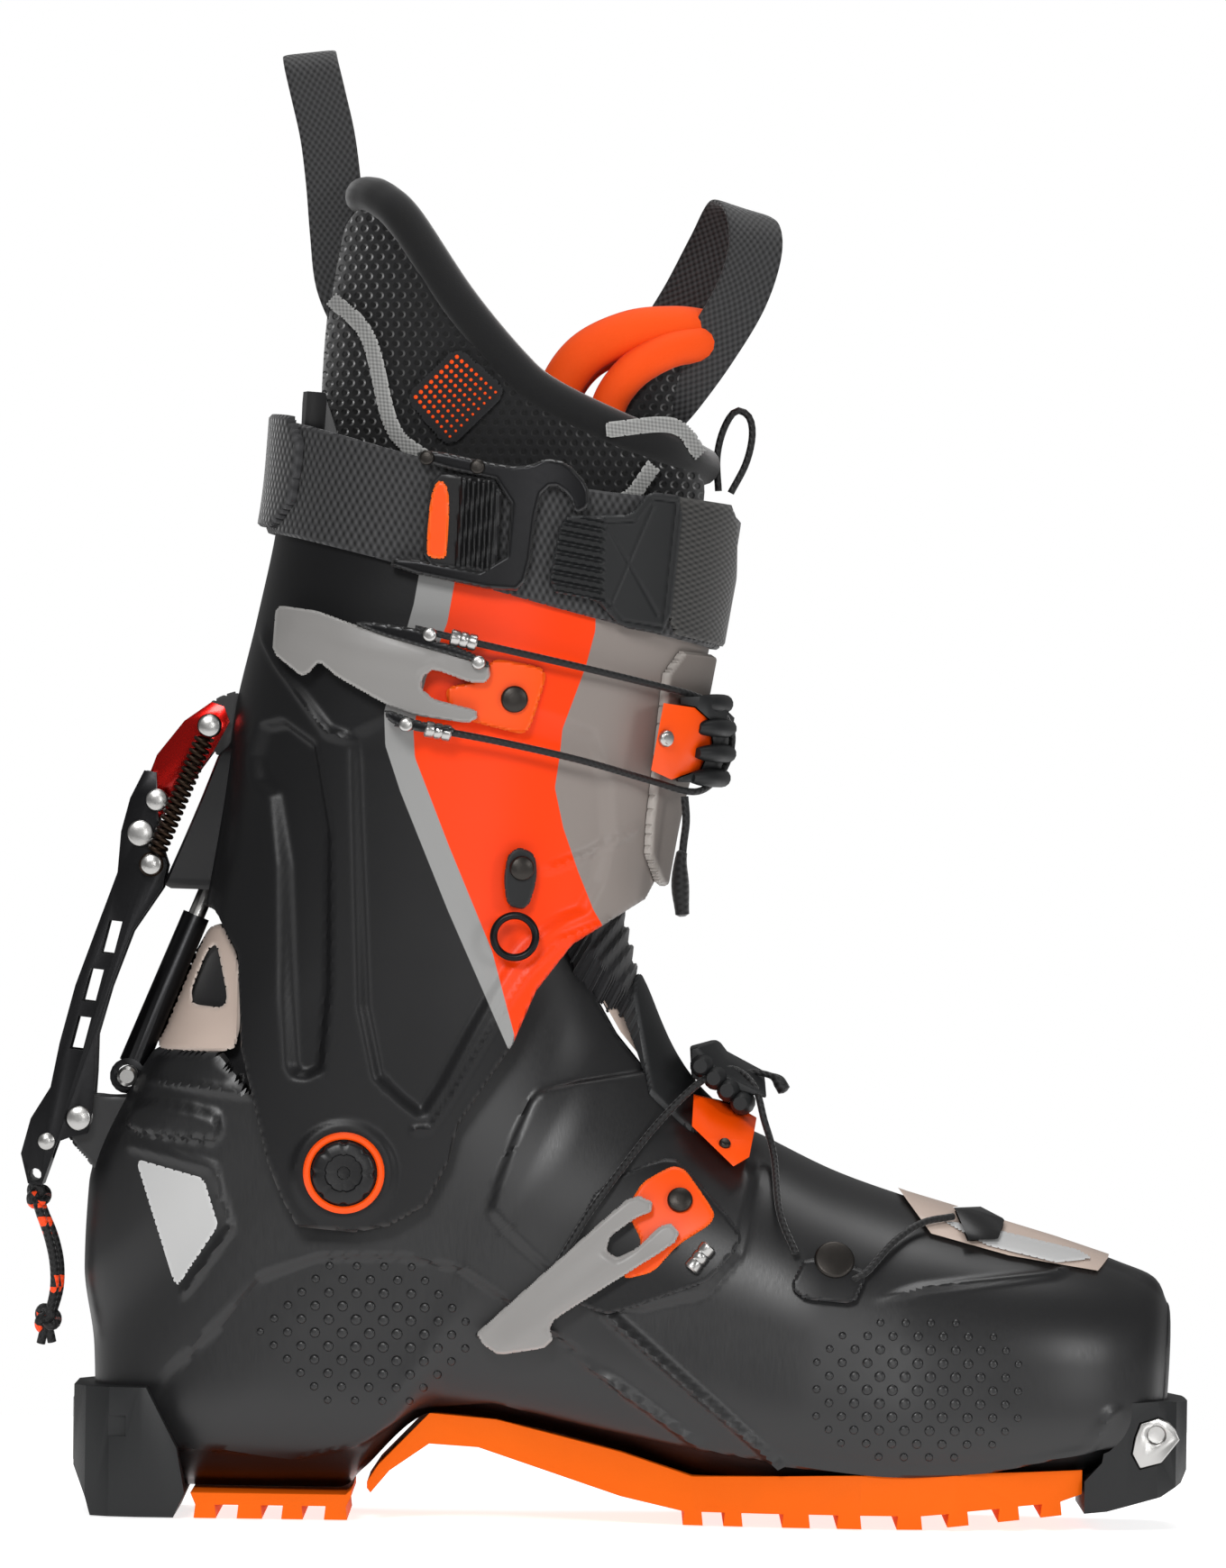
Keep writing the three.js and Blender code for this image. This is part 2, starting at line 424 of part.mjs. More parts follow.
// ---------------------------------------------------------------- cuff
const CUFF_KEPT = leg([[-20, 272], [0, 270], [116, 239.5], [135, 235], [135, 184], [106.8, 178],
  [100.8, 166.6], [81.6, 154.5], [72, 142], [66, 127.7], [51.6, 106], [49.2, 96.2],
  [43.2, 84.6], [33.6, 79], [24, 77.1], [8.4, 78.4], [4, 86], [0, 95.5], [-7.7, 125.4],
  [-9.1, 150.6], [-15.6, 162], [-28.8, 168.3], [-40, 175], [-40, 272]]);
const HOOD_OUT = leg([[-10, 206], [-15.5, 204], [-29, 168.6], [-26, 165], [-15, 162], [-10, 168]]);
const HOOD_IN = leg([[-26.4, 150], [-26.2, 167.5], [-16, 194], [-9, 205], [-4, 205], [-4, 150]]);
const HOOD_HALF = 12;
const LUG_HALF = LINK_INNER - GAP;
const BOSS_FACE = 44.3 + legTerm;
const linkLug = leg([[-8, 222], [-16, 219.5], [-21.5, 214.5], [-21, 208], [-16, 204], [-10, 201]]);
const bosses = [-1, 1].map((s) => disc(PIVOT.x, PIVOT.z, 14,
  ...[s * BOSS_FACE, s * (BOSS_FACE - 4)].sort((a, b) => a - b), 24));
const cuffInside = around('cuff', -CUFF_WALL);
const cuffShell = cut(
  join(common(around('cuff', 0), prism(CUFF_KEPT, -80, 80)),
    cut(prism(HOOD_OUT, -HOOD_HALF, HOOD_HALF), around('cuff', -1)),
    cut(prism(linkLug, -LUG_HALF, LUG_HALF), around('cuff', -1)), ...bosses),
  cuffInside, prism(HOOD_IN, -HOOD_HALF + 3, HOOD_HALF - 3), pivotHole,
  disc(linkPin.x, linkPin.z, SMALL_PIN_R + GAP, -20, 20, 12));
add('cuff_shell', largest(cuffShell), FINISH.black);

const FLAP_OFFSET = 2.6;       // thickness of the overlapping front edge
const frontFlap = leg([[103, 176], [101.4, 180], [106.4, 233.6], [122, 232.4], [122, 225], [112, 176],
  [109.5, 171], [105.5, 170]]);
add('cuff_front_flap', largest(skin('cuff', frontFlap, GAP, FLAP_OFFSET, -60, 12)), FINISH.taupe);
const spoiler = leg([[5.5, 271], [6, 299], [6.8, 309], [10.6, 307], [17, 288], [17, 271]]);
add('calf_spoiler', largest(cut(common(prism(spoiler, -26, 26), around('cuff', -3.4)),
  around('cuff', -6.2), around('liner', GAP))), FINISH.black);

for (const [side, s] of [['lateral', -1], ['medial', 1]]) {
  const span = (from, to) => [s * from, s * to].sort((a, b) => a - b);
  const face = BOSS_FACE + GAP;
  const hub = disc(PIVOT.x, PIVOT.z, 1.7, ...span(face + 1, face + 9), 10);
  add(`pivot_bolt_${side}`, cut(join(disc(PIVOT.x, PIVOT.z, PIVOT_BOLT_R, ...span(face, face + 2.6), 16),
    disc(PIVOT.x, PIVOT.z, PIVOT_SHAFT_R, ...span(SHELL_INNER_Y(), face + 1), 16)), hub),
  FINISH.black);
  add(`pivot_ring_${side}`, cut(
    disc(PIVOT.x, PIVOT.z, PIVOT_BOLT_R + GAP + PIVOT_RING_WALL, ...span(face, face + 1.6), 20),
    disc(PIVOT.x, PIVOT.z, PIVOT_BOLT_R + GAP + 0.2, ...span(face - 5, face + 9), 20)),
  FINISH.orangePlastic);
}
/** Inner face of the lower shell beside the pivot. */
function SHELL_INNER_Y() {
  return -lateralY('shell', PIVOT.x, PIVOT.z) - SHELL_WALL + 0.4;
}

// ---------------------------------------------------------------- walk mechanism
const LINK_OUTER = LINK_INNER + PLATE;
const LEVER_INNER = LINK_OUTER + 0.9;
const LEVER_OUTER = LEVER_INNER + PLATE;
const between = (p, q, f) => [p.x + (q.x - p.x) * f, p.z + (q.z - p.z) * f];
/** Outline drawn along the line p to q: [share of the way, mm to the left of it]. */
function along(p, q, points) {
  const d = new THREE.Vector2(q.x - p.x, q.z - p.z).normalize();
  return points.map(([f, side]) => {
    const [x, z] = between(p, q, f);
    return [x - d.y * side, z + d.x * side];
  });
}
/** Two plates and the web that joins them along the outline's web part. */
function channel(outline, web, inner, outer) {
  return join(prism(outline, inner, outer), prism(outline, -outer, -inner),
    prism(web, -inner - 0.5, inner + 0.5));
}
const linkPlate = along(linkPin, leverPin, [[-0.22, -3.5], [0.12, -6.5], [0.6, -7.2], [1.05, -4.4],
  [1.2, -1], [1.14, 3.2], [0.7, 4.4], [0.2, 4.6], [-0.16, 3.6], [-0.26, 0]]);
const linkWeb = along(linkPin, leverPin, [[0.3, -6.8], [0.6, -7.2], [0.84, -5.8], [0.84, -3.8],
  [0.6, -5.2], [0.3, -4.8]]);
const link = join(channel(linkPlate, linkWeb, LINK_INNER, LINK_OUTER),
  disc(linkPin.x, linkPin.z, SMALL_PIN_R, -LINK_OUTER - 7.5, LINK_OUTER + 1, 12));
add('walk_link', cut(link, disc(leverPin.x, leverPin.z, SMALL_PIN_R + GAP, -30, 30, 12)),
  FINISH.red);

const leverOutline = leg([[-31.5, 199], [-34.8, 199.5], [-38.5, 192], [-40.8, 183], [-41.6, 172],
  [-46, 160], [-52.5, 141.5], [-56.5, 126], [-58.8, 114], [-64, 105.5], [-66.5, 96], [-64.5, 88],
  [-60.8, 87.5], [-58.6, 94], [-56.8, 99.2], [-53.5, 100.5], [-48.5, 101.8], [-47.4, 108],
  [-46.8, 118], [-46.6, 128], [-43, 141], [-37.5, 156], [-29.5, 168], [-28.3, 174], [-30.6, 181],
  [-31, 190]]);
const leverWeb = leg([[-46, 160], [-52.5, 141.5], [-56.5, 126], [-57.6, 119], [-55.6, 118.5],
  [-54.6, 125.5], [-50.6, 141], [-44.2, 159.4]]);
const leverTail = leg([[-60, 99.5], [-62.5, 102.5], [-66.5, 96], [-64.5, 88], [-60.8, 87.5],
  [-58.6, 94]]);
const slots = [[-43, 154.5], [-47.8, 141.5], [-51, 128.6]].map(([x, z]) => prism(leg([
  [x + 2.9, z + 4.2], [x - 0.7, z + 4.6], [x - 2.9, z - 4.2], [x + 0.7, z - 4.6]]), -30, 30));
const lever = join(channel(leverOutline, leverWeb, LEVER_INNER, LEVER_OUTER),
  prism(leverTail, -LEVER_INNER - 0.5, LEVER_INNER + 0.5),
  disc(leverPin.x, leverPin.z, SMALL_PIN_R, -LEVER_OUTER - 1, LEVER_OUTER + 1, 12),
  disc(leverEye.x, leverEye.z, SMALL_PIN_R, -LEVER_OUTER - 1, -LEVER_OUTER + 0.5, 12),
  disc(springPin.x, springPin.z, SMALL_PIN_R, -LINK_OUTER - 7.5, -LEVER_INNER - 0.5, 12));
add('walk_lever', cut(lever, ...slots, disc(-62.6, legZ(90.4), 1.7, -30, 30, 10)), FINISH.blackMetal);

const SPRING_R = 2.4;
const springY = -LEVER_OUTER - GAP - SPRING_R;
const springEnd = (f) => {
  const [x, z] = between(linkPin, springPin, f);
  return [x, springY, z];
};
const springLength = Math.hypot(linkPin.x - springPin.x, linkPin.z - springPin.z);
const springShare = (SMALL_PIN_R + 0.5) / springLength;
add('lever_spring', taper(springEnd(springShare), springEnd(1 - springShare), SPRING_R, SPRING_R, 10),
  FINISH.bronze);

const strutDir = new THREE.Vector2(Math.sin(THREE.MathUtils.degToRad(STRUT_ANGLE)),
  Math.cos(THREE.MathUtils.degToRad(STRUT_ANGLE)));
const onStrut = (d) => [strutPin.x + strutDir.x * d, 0, strutPin.z + strutDir.y * d];
const eye = disc(strutPin.x, strutPin.z, EYE_R, -EAR_INNER + 0.4, EAR_INNER - 0.4, 18);
const eyeHole = disc(strutPin.x, strutPin.z, STRUT_PIN.r + GAP, -20, 20, 14);
add('strut_sleeve', cut(join(eye, solid(taper(onStrut(3.4), onStrut(STRUT_SLEEVE_LENGTH),
  3.9, STRUT_SLEEVE_R, 16))), eyeHole, solid(taper(onStrut(STRUT_SLEEVE_BORE_START), onStrut(90),
  STRUT_ROD_R + GAP, STRUT_ROD_R + GAP, 12))), FINISH.blackMetal);
add('strut_rod', taper(onStrut(STRUT_ROD_START), onStrut(STRUT_ROD_REACH), STRUT_ROD_R, STRUT_ROD_R, 12),
  FINISH.blackMetal);

// ---------------------------------------------------------------- cuff buckle
const BASE_TOP = 3;            // buckle base above the shell
const LEVER_LOW = BASE_TOP + 1;
const LEVER_HIGH = LEVER_LOW + 3.4;
const cuffBase = leg([[46, 222.6], [55.2, 224.7], [58.8, 230.8], [71.5, 228.6], [73.2, 226.2],
  [68.8, 211.4], [66, 210.5], [48, 215]]);
add('cuff_buckle_base', skin('cuff', cuffBase, GAP, BASE_TOP), FINISH.orangePlastic);
add('cuff_buckle_rivet', skin('cuff', circle(64.6, legZ(219.8), 3.6, 14), BASE_TOP + GAP,
  BASE_TOP + 1.8), FINISH.blackMetal);
const cuffLever = leg([[1.7, 242], [4.8, 244], [23, 239.5], [57.6, 229.5], [56.6, 224.8],
  [41.5, 227.6], [38.6, 225], [40.4, 221.8], [55.4, 218.8], [54.6, 215.2], [48, 216.2],
  [31.2, 217.4], [20.4, 225.6], [14.4, 229], [10.8, 222], [8, 224], [2.4, 233.6]]);
add('cuff_buckle_lever', largest(skin('cuff', cuffLever, LEVER_LOW, LEVER_HIGH)), FINISH.grey);
const LADDER_LOW = FLAP_OFFSET + GAP;
const cuffLadder = leg([[109, 221], [117, 221.5], [126, 214], [126, 203], [120, 198], [108.5, 198.4]]);
const cuffMount = leg([[101.3, 201.4], [106.8, 199], [114.6, 202], [117.6, 209], [116.6, 215],
  [112.8, 218.3], [104.4, 219.4]]);
const mountBody = skin('cuff', cuffMount, LADDER_LOW, LADDER_LOW + 6.5, -60, -18);
add('cuff_ladder_mount', largest(mountBody), FINISH.orangePlastic);
add('cuff_ladder', largest(cut(skin('cuff', cuffLadder, LADDER_LOW, LADDER_LOW + 7.5, -32, 2),
  prism(grow(cuffMount, GAP), -60, -18 + GAP))), FINISH.rubber);
/** Points on a surface's lateral side, lifted off it: [x, z, lift]. */
const lifted = (name, points) => points.map(([x, z, lift]) => [x,
  lateralY(name, x, legZ(z), lift), legZ(z)]);
const cuffCable = [...lifted('cuff', [[38, 238.2, 7], [55, 234.4, 7], [81.6, 228.7, 5],
  [100, 224, 5]]), [116, -24, legZ(224)], [126.2, -13, legZ(218.5)], [130, -11, legZ(209)],
[126.4, -13, legZ(199)], [117, -22, legZ(194.6)],
...lifted('cuff', [[100, 199, 5], [81.6, 204, 5], [57.6, 209, 5], [33, 213, 7]])];
add('cuff_cable', tube(cuffCable, CABLE_R, 44), FINISH.fabric);

// ---------------------------------------------------------------- instep buckle
const instepBase = foot([[104, 92.5], [109, 96.5], [120.4, 83.4], [111.2, 73.6], [96, 88.4]]);
add('instep_buckle_base', skin('shell', instepBase, GAP, BASE_TOP), FINISH.orangePlastic);
const bezel = foot([[110.6, 98.2], [127.4, 78.4], [125.6, 69.8], [94, 55.4], [83.6, 58.6],
  [79, 66], [112.4, 73], [121.6, 83], [110, 97.2]]);
add('instep_bezel', largest(skin('shell', bezel, GAP, BASE_TOP - 0.6)), FINISH.black);
add('instep_buckle_rivet', skin('shell', circle(footX(110.6), 86.8, 3.3, 14), BASE_TOP + GAP,
  BASE_TOP + 1.8), FINISH.blackMetal);
const instepLever = foot([[56.6, 50], [59, 53], [71, 64], [99.6, 88.6], [102.2, 84.4],
  [93, 75.8], [93.4, 72], [97, 71.6], [106.6, 80.4], [110, 77], [81, 56], [77, 51], [76, 45],
  [67, 41]]);
add('instep_buckle_lever', largest(skin('shell', instepLever, LEVER_LOW, LEVER_HIGH)), FINISH.grey);
const instepLadder = foot([[113, 127], [120, 129], [133, 121], [133.5, 114], [122, 116.6],
  [113.5, 119]]);
const instepClip = foot([[114, 114.6], [124, 112.4], [131, 108.5], [129, 98.5], [124.8, 96],
  [113.6, 106.5]]);
const ladderOn = (outline, low, high, y0, y1) => largest(skin('shell', outline, low, high, y0, y1));
add('instep_ladder_clip', ladderOn(instepClip, GAP, 7.2, -45, -10), FINISH.orangePlastic);
add('instep_ladder', ladderOn(instepLadder, GAP, 16, -24, 12), FINISH.rubber);
const instepCable = [...lifted('shell', [[footX(84), 80.6, 6], [footX(92), 93, 4]]),
  [footX(105), -31, legZ(117)], [footX(116), -27.5, legZ(130)], [footX(125), -4, legZ(133)],
  [footX(136), -8, legZ(121)], [footX(137), -24, legZ(110)],
  ...lifted('shell', [[footX(131), 92, 5], [footX(128.5), 80, 5], [footX(124), 72, 5]])];
add('instep_cable', tube(instepCable, CABLE_R, 34), FINISH.fabric);
const guidePlate = foot([[140.4, 68.7], [145.2, 61.6], [156, 60.6], [159.6, 67.8], [156, 75.2],
  [144.6, 76]]);
add('cable_guide', join(skin('shell', guidePlate, GAP, 3.4),
  skin('shell', circle(footX(149.8), 71.6, 4.6, 14), 1, 4.6)), FINISH.black);
const toeAnchor = foot([[184.8, 84.6], [192, 85], [198, 82], [196, 77.4], [188, 77]]);
add('toe_anchor', largest(skin('shell', toeAnchor, GAP, 3.4, -34, 2)), FINISH.black);
const toePanel = foot([[168, 92], [178, 78.6], [190, 75.4], [199, 73], [223, 69], [228, 74],
  [200, 84]]);
add('toe_panel', largest(cut(skin('shell', toePanel, GAP, 1.5, -40, 14),
  prism(grow(toeAnchor, GAP), -60, 10))), FINISH.paleTaupe);
const toeCord = [...lifted('shell', [[footX(133.4), 99, 3], [footX(137), 84, 2.6]]),
  ...lifted('shell', [[footX(139.4), 76, 2.4]])];
add('toe_cord_rear', tube(toeCord, CABLE_R, 8), FINISH.fabric);
const toeCordFront = lifted('shell', [[footX(160.6), 69.8, 2.4], [footX(168), 77, 2.4],
  [footX(175), 80.6, 2.6], [footX(182.6), 81.8, 3.2]]);
add('toe_cord_front', tube(toeCordFront, CABLE_R, 8), FINISH.fabric);

// ---------------------------------------------------------------- lanyard ring on the cuff
const ringStrap = leg([[63.4, 178.6], [66.6, 180.6], [70.8, 178.6], [71.4, 172], [69, 163.6],
  [63.4, 164.6], [62.4, 172]]);
add('d_ring_strap', skin('cuff', ringStrap, GAP, 2.4), FINISH.rubber);
const ringY = lateralY('cuff', 65.6, legZ(160), 3.6);
const dRing = new THREE.TorusGeometry(5.6, 1.1, 6, 16).rotateX(Math.PI / 2);
add('d_ring', dRing.translate(65.6, ringY, legZ(156.6)), FINISH.blackMetal);

// ---------------------------------------------------------------- power strap
const STRAP_LOW = 0.6;
const strapBand = leg([[-16, 298], [-2, 295], [41, 283], [75, 276.5], [135, 271.5], [135, 230],
  [118, 234.6], [88, 241], [31, 256], [-2, 264], [-16, 266]]);
const strapOuter = STRAP_LOW + STRAP_THICKNESS;
add('power_strap', largest(skin('cuff', strapBand, STRAP_LOW, strapOuter, -80, 80)), FINISH.fabric);
const keeper = leg([[-12, 268.5], [-8.4, 296], [7, 294.6], [2, 264.4]]);
add('strap_keeper', largest(skin('cuff', keeper, strapOuter + GAP, strapOuter + 7, -32, 10)),
  FINISH.fabric);
const FRAME_LOW = strapOuter + GAP;
const frame = leg([[37, 284.6], [41, 286], [62, 281.6], [68, 282], [72, 284], [78, 283],
  [83.6, 277], [84, 271], [80, 269], [78.6, 274], [74, 277], [70.4, 273.6], [68, 252],
  [64, 247.6], [31, 254], [32, 257.8], [61.4, 252.4], [63.4, 277], [42, 281.4]]);
add('strap_buckle_frame', largest(skin('cuff', frame, FRAME_LOW, FRAME_LOW + 3)), FINISH.blackMetal);
const cam = leg([[42.4, 279], [60.4, 275], [60.8, 254.4], [38, 257.4]]);
add('strap_cam', largest(skin('cuff', cam, FRAME_LOW, FRAME_LOW + 4.6)), FINISH.black);
const tab = leg([[86, 269], [95, 269.4], [99.6, 275.7], [109.2, 274.7], [105.6, 237.4],
  [92.4, 239.4], [86, 246.4], [73, 248.6], [76.5, 268.6]]);
add('strap_rubber_tab', largest(skin('cuff', tab, FRAME_LOW, FRAME_LOW + 2.6)), FINISH.rubber);

// ---------------------------------------------------------------- liner
const LINER_KEPT = leg([[17, 350], [18.6, 355], [25, 355.4], [34, 348], [48, 327], [62.4, 310],
  [72, 302], [91.2, 292.8], [105.6, 288], [116, 283.4], [140, 270], [140, 150], [-20, 150],
  [-20, 350]]);
const LEG_SPACE = { back: 19.4, front: 75, half: 20.6, bottom: 150, top: 306 };
const legSpace = slab(mirrored([[LEG_SPACE.back, LEG_SPACE.half], [LEG_SPACE.front, LEG_SPACE.half]]),
  legZ(LEG_SPACE.bottom), legZ(LEG_SPACE.top));
const collar = common(around('liner', 0), prism(LINER_KEPT, -70, 70));
add('liner_cuff', largest(cut(collar, surface(linerLegStations, -LINER_WALL, LINER_SIDES, 20),
  legSpace)), FINISH.fabric);
const TONGUE_LOW = LINER_WALL + 0.8;
const TONGUE_THICKNESS = 8;
const tongue = leg([[73, 200], [70, 296], [72, 304], [81.6, 314], [96, 319], [110.4, 319],
  [122, 311], [122, 200]]);
add('liner_tongue', largest(common(cut(around('liner', -TONGUE_LOW),
  around('liner', -TONGUE_LOW - TONGUE_THICKNESS)), prism(tongue, -26, 26))), FINISH.orangeFabric);

/** Webbing loop: strip outline seen from the side, doubled over with a gap across Y. */
function webLoop(outline, hollow, half, thickness) {
  return cut(prism(outline, -half, half), prism(hollow, -half + thickness, half - thickness));
}
const rearLoop = leg([[0, 391.6], [13.7, 395.7], [18, 381], [19.4, 366], [18.6, 352], [15.4, 338],
  [6, 338], [7.6, 352], [5, 370]]);
const rearHollow = leg([[-12, 388.8], [30, 394], [30, 300], [-12, 300]]);
add('rear_pull_loop', largest(cut(webLoop(rearLoop, rearHollow, 11, 1.4), around('liner', GAP))),
  FINISH.fabric);
const frontLoop = leg([[118, 354], [134, 350.4], [134, 338], [128, 320], [119, 300], [104, 300],
  [113, 322]]);
const frontHollow = leg([[80, 352.8], [150, 346], [150, 280], [80, 280]]);
add('tongue_pull_loop', largest(cut(webLoop(frontLoop, frontHollow, 17, 1.4),
  around('liner', -TONGUE_LOW + GAP))), FINISH.fabric);
const fingerLoop = [[118.5, 0, legZ(277)], [118.4, 0, legZ(289)], [122.5, 0, legZ(298.5)],
  [127, 0, legZ(295.5)], [125.6, 0, legZ(285)], [121.8, 0, legZ(276.5)]];
add('finger_loop', tube(fingerLoop, 0.9, 14), FINISH.fabric);

// ---------------------------------------------------------------- cords
const pullCord = [[-62.6, 0, legZ(86)], [-62, -1, 82], [-60, -2, 77], [-57.6, -2, 70], [-56.6, -2, 63],
  [-57.6, -1, 57], [-59.6, 0, 50]];
add('pull_cord', tube(pullCord.map(([x, y, z]) => [x, y, z]), CORD_R, 14), FINISH.fabric);
const zipY = lateralY('cuff', 104, legZ(190), 4.5);
const zipCord = [[110.4, zipY, legZ(193)], [110.8, zipY - 0.5, legZ(186)], [109.8, zipY, legZ(180)]];
add('zip_cord', tube(zipCord, 1.1, 8), FINISH.fabric);
add('zip_tab', taper([109.8, zipY, legZ(179.4)], [110, zipY, legZ(162)], 1.9, 2.6, 10), FINISH.rubber);

export default boot;
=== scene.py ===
"""Alpine touring ski boot, right foot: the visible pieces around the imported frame.

The frame is in metres, +X to the toe, +Y to the inner side, +Z up. Sizes in this file are in
millimetres and become metres when a mesh is made. Outlines are side views, as (x, z) points.
"""

import json
import logging
import math
from dataclasses import dataclass, field
from enum import Enum
from typing import Callable, Optional, Sequence

import bmesh
import bpy
import numpy as np
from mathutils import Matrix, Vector

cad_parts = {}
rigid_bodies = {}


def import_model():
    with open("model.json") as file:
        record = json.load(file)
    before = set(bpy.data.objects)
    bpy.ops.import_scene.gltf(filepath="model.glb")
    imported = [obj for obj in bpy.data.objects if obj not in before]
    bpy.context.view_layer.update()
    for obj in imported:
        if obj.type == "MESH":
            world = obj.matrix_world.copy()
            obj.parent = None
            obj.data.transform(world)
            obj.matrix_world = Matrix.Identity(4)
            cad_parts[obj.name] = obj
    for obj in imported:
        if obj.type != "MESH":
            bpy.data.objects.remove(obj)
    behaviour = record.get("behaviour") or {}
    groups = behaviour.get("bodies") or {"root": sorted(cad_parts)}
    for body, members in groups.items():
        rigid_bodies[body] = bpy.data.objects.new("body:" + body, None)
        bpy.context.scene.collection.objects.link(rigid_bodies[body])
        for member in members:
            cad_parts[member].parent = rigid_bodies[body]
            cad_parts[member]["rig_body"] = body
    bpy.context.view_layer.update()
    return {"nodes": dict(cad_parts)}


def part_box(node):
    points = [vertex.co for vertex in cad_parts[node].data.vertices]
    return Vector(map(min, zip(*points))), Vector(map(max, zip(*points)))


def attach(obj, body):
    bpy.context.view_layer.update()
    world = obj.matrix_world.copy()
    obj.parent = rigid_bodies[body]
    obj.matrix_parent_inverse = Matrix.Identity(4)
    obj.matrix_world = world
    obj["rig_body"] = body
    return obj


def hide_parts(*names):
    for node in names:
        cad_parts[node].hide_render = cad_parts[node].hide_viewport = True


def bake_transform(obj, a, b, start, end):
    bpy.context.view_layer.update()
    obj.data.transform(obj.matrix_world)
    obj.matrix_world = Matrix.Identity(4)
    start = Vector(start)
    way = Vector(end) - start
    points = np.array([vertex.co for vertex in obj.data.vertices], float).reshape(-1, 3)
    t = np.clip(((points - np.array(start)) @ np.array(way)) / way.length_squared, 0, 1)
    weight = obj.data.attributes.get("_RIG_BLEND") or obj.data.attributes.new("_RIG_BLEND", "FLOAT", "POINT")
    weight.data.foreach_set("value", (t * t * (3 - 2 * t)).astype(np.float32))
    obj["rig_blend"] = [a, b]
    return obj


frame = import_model()

log = logging.getLogger("boot")
MM = 0.001
SAME_POINT = 2e-6  # metres under which two corners of a CAD node are one
FLAT_TURN = 1.0  # degrees of turn over which flat neighbours become one face
Array = np.ndarray
Piece = bpy.types.Object
Tree = bpy.types.NodeTree
Socket = bpy.types.NodeSocket
Outline = Sequence[tuple[float, float]]
Place = Callable[[Array, Array, Array], Array]
Field = Callable[[Array], Array]


class Body(str, Enum):
    """The moving bodies of the frame that pieces ride on."""

    CLOG = "clog"
    CUFF = "cuff"
    LINK = "link"
    LEVER = "lever"
    STRUT = "strut"
    ROD = "rod"
    UPPER_BUCKLE = "upper_buckle"
    INSTEP_BUCKLE = "instep_buckle"
    CAM = "cam"
    RING = "ring"


# ---------------------------------------------------------------- shapes in the side view
def ease(share: Array) -> Array:
    """Smooth step: 3s^2 - 2s^3 of the share, held to 0..1."""
    s = np.clip(share, 0.0, 1.0)
    return s * s * (3.0 - 2.0 * s)


def rounded(outline: Outline, times: int = 2, cut: float = 0.25) -> Array:
    """Round an outline's corners by cutting each one off, several times over.

    Args:
        outline: Closed outline.
        times: How many times the corners are cut.
        cut: Share of each edge that a cut takes.

    Returns:
        The rounded outline.
    """
    points = np.asarray(outline, float)
    for _ in range(times):
        after = np.roll(points, -1, 0)
        near = points + (after - points) * cut
        far = points + (after - points) * (1.0 - cut)
        points = np.stack([near, far], 1).reshape(-1, 2)
    return points


def outline_gap(outline: Outline, x: Array, z: Array) -> Array:
    """Signed distance to a closed outline: least distance to an edge, negative inside.

    Args:
        outline: Closed outline.
        x: Side view x of the points.
        z: Side view z of the points.

    Returns:
        Millimetres, with the shape of x.
    """
    start = np.asarray(outline, float)
    run = np.roll(start, -1, 0) - start
    px, pz = x.reshape(-1, 1) - start[:, 0], z.reshape(-1, 1) - start[:, 1]
    along = np.clip((px * run[:, 0] + pz * run[:, 1]) / ((run**2).sum(1) + 1e-12), 0, 1)
    gap = np.hypot(px - along * run[:, 0], pz - along * run[:, 1]).min(1)
    rise = np.where(run[:, 1] == 0, 1e-9, run[:, 1])
    crossed = ((pz < 0) != (pz < run[:, 1])) & (px < pz * run[:, 0] / rise)
    return np.where(crossed.sum(1) % 2 == 1, -gap, gap).reshape(x.shape)


def line_gap(line: Outline, x: Array, z: Array) -> Array:
    """Distance in millimetres from points to an open line, the least over its parts."""
    start, end = np.asarray(line, float)[:-1], np.asarray(line, float)[1:]
    run = end - start
    px, pz = x.reshape(-1, 1) - start[:, 0], z.reshape(-1, 1) - start[:, 1]
    along = np.clip((px * run[:, 0] + pz * run[:, 1]) / ((run**2).sum(1) + 1e-12), 0, 1)
    return np.hypot(px - along * run[:, 0], pz - along * run[:, 1]).min(1).reshape(x.shape)


def cubic(values: Array, slope: Array, k: Array, f: Array) -> Array:
    """Cubic from station k to k + 1 at share f that meets the values and slopes at both."""
    return ((2 * f**3 - 3 * f**2 + 1) * values[k] + (f**3 - 2 * f**2 + f) * slope[k]
            + (3 * f**2 - 2 * f**3) * values[k + 1] + (f**3 - f**2) * slope[k + 1])


def inside(outline: Outline) -> Field:
    """Field of signed distances to an outline in the side view."""
    return lambda at: outline_gap(outline, at[..., 0], at[..., 2])


def level(height: float) -> Field:
    """Field with one height everywhere."""
    return lambda at: np.full(at.shape[:-1], height)


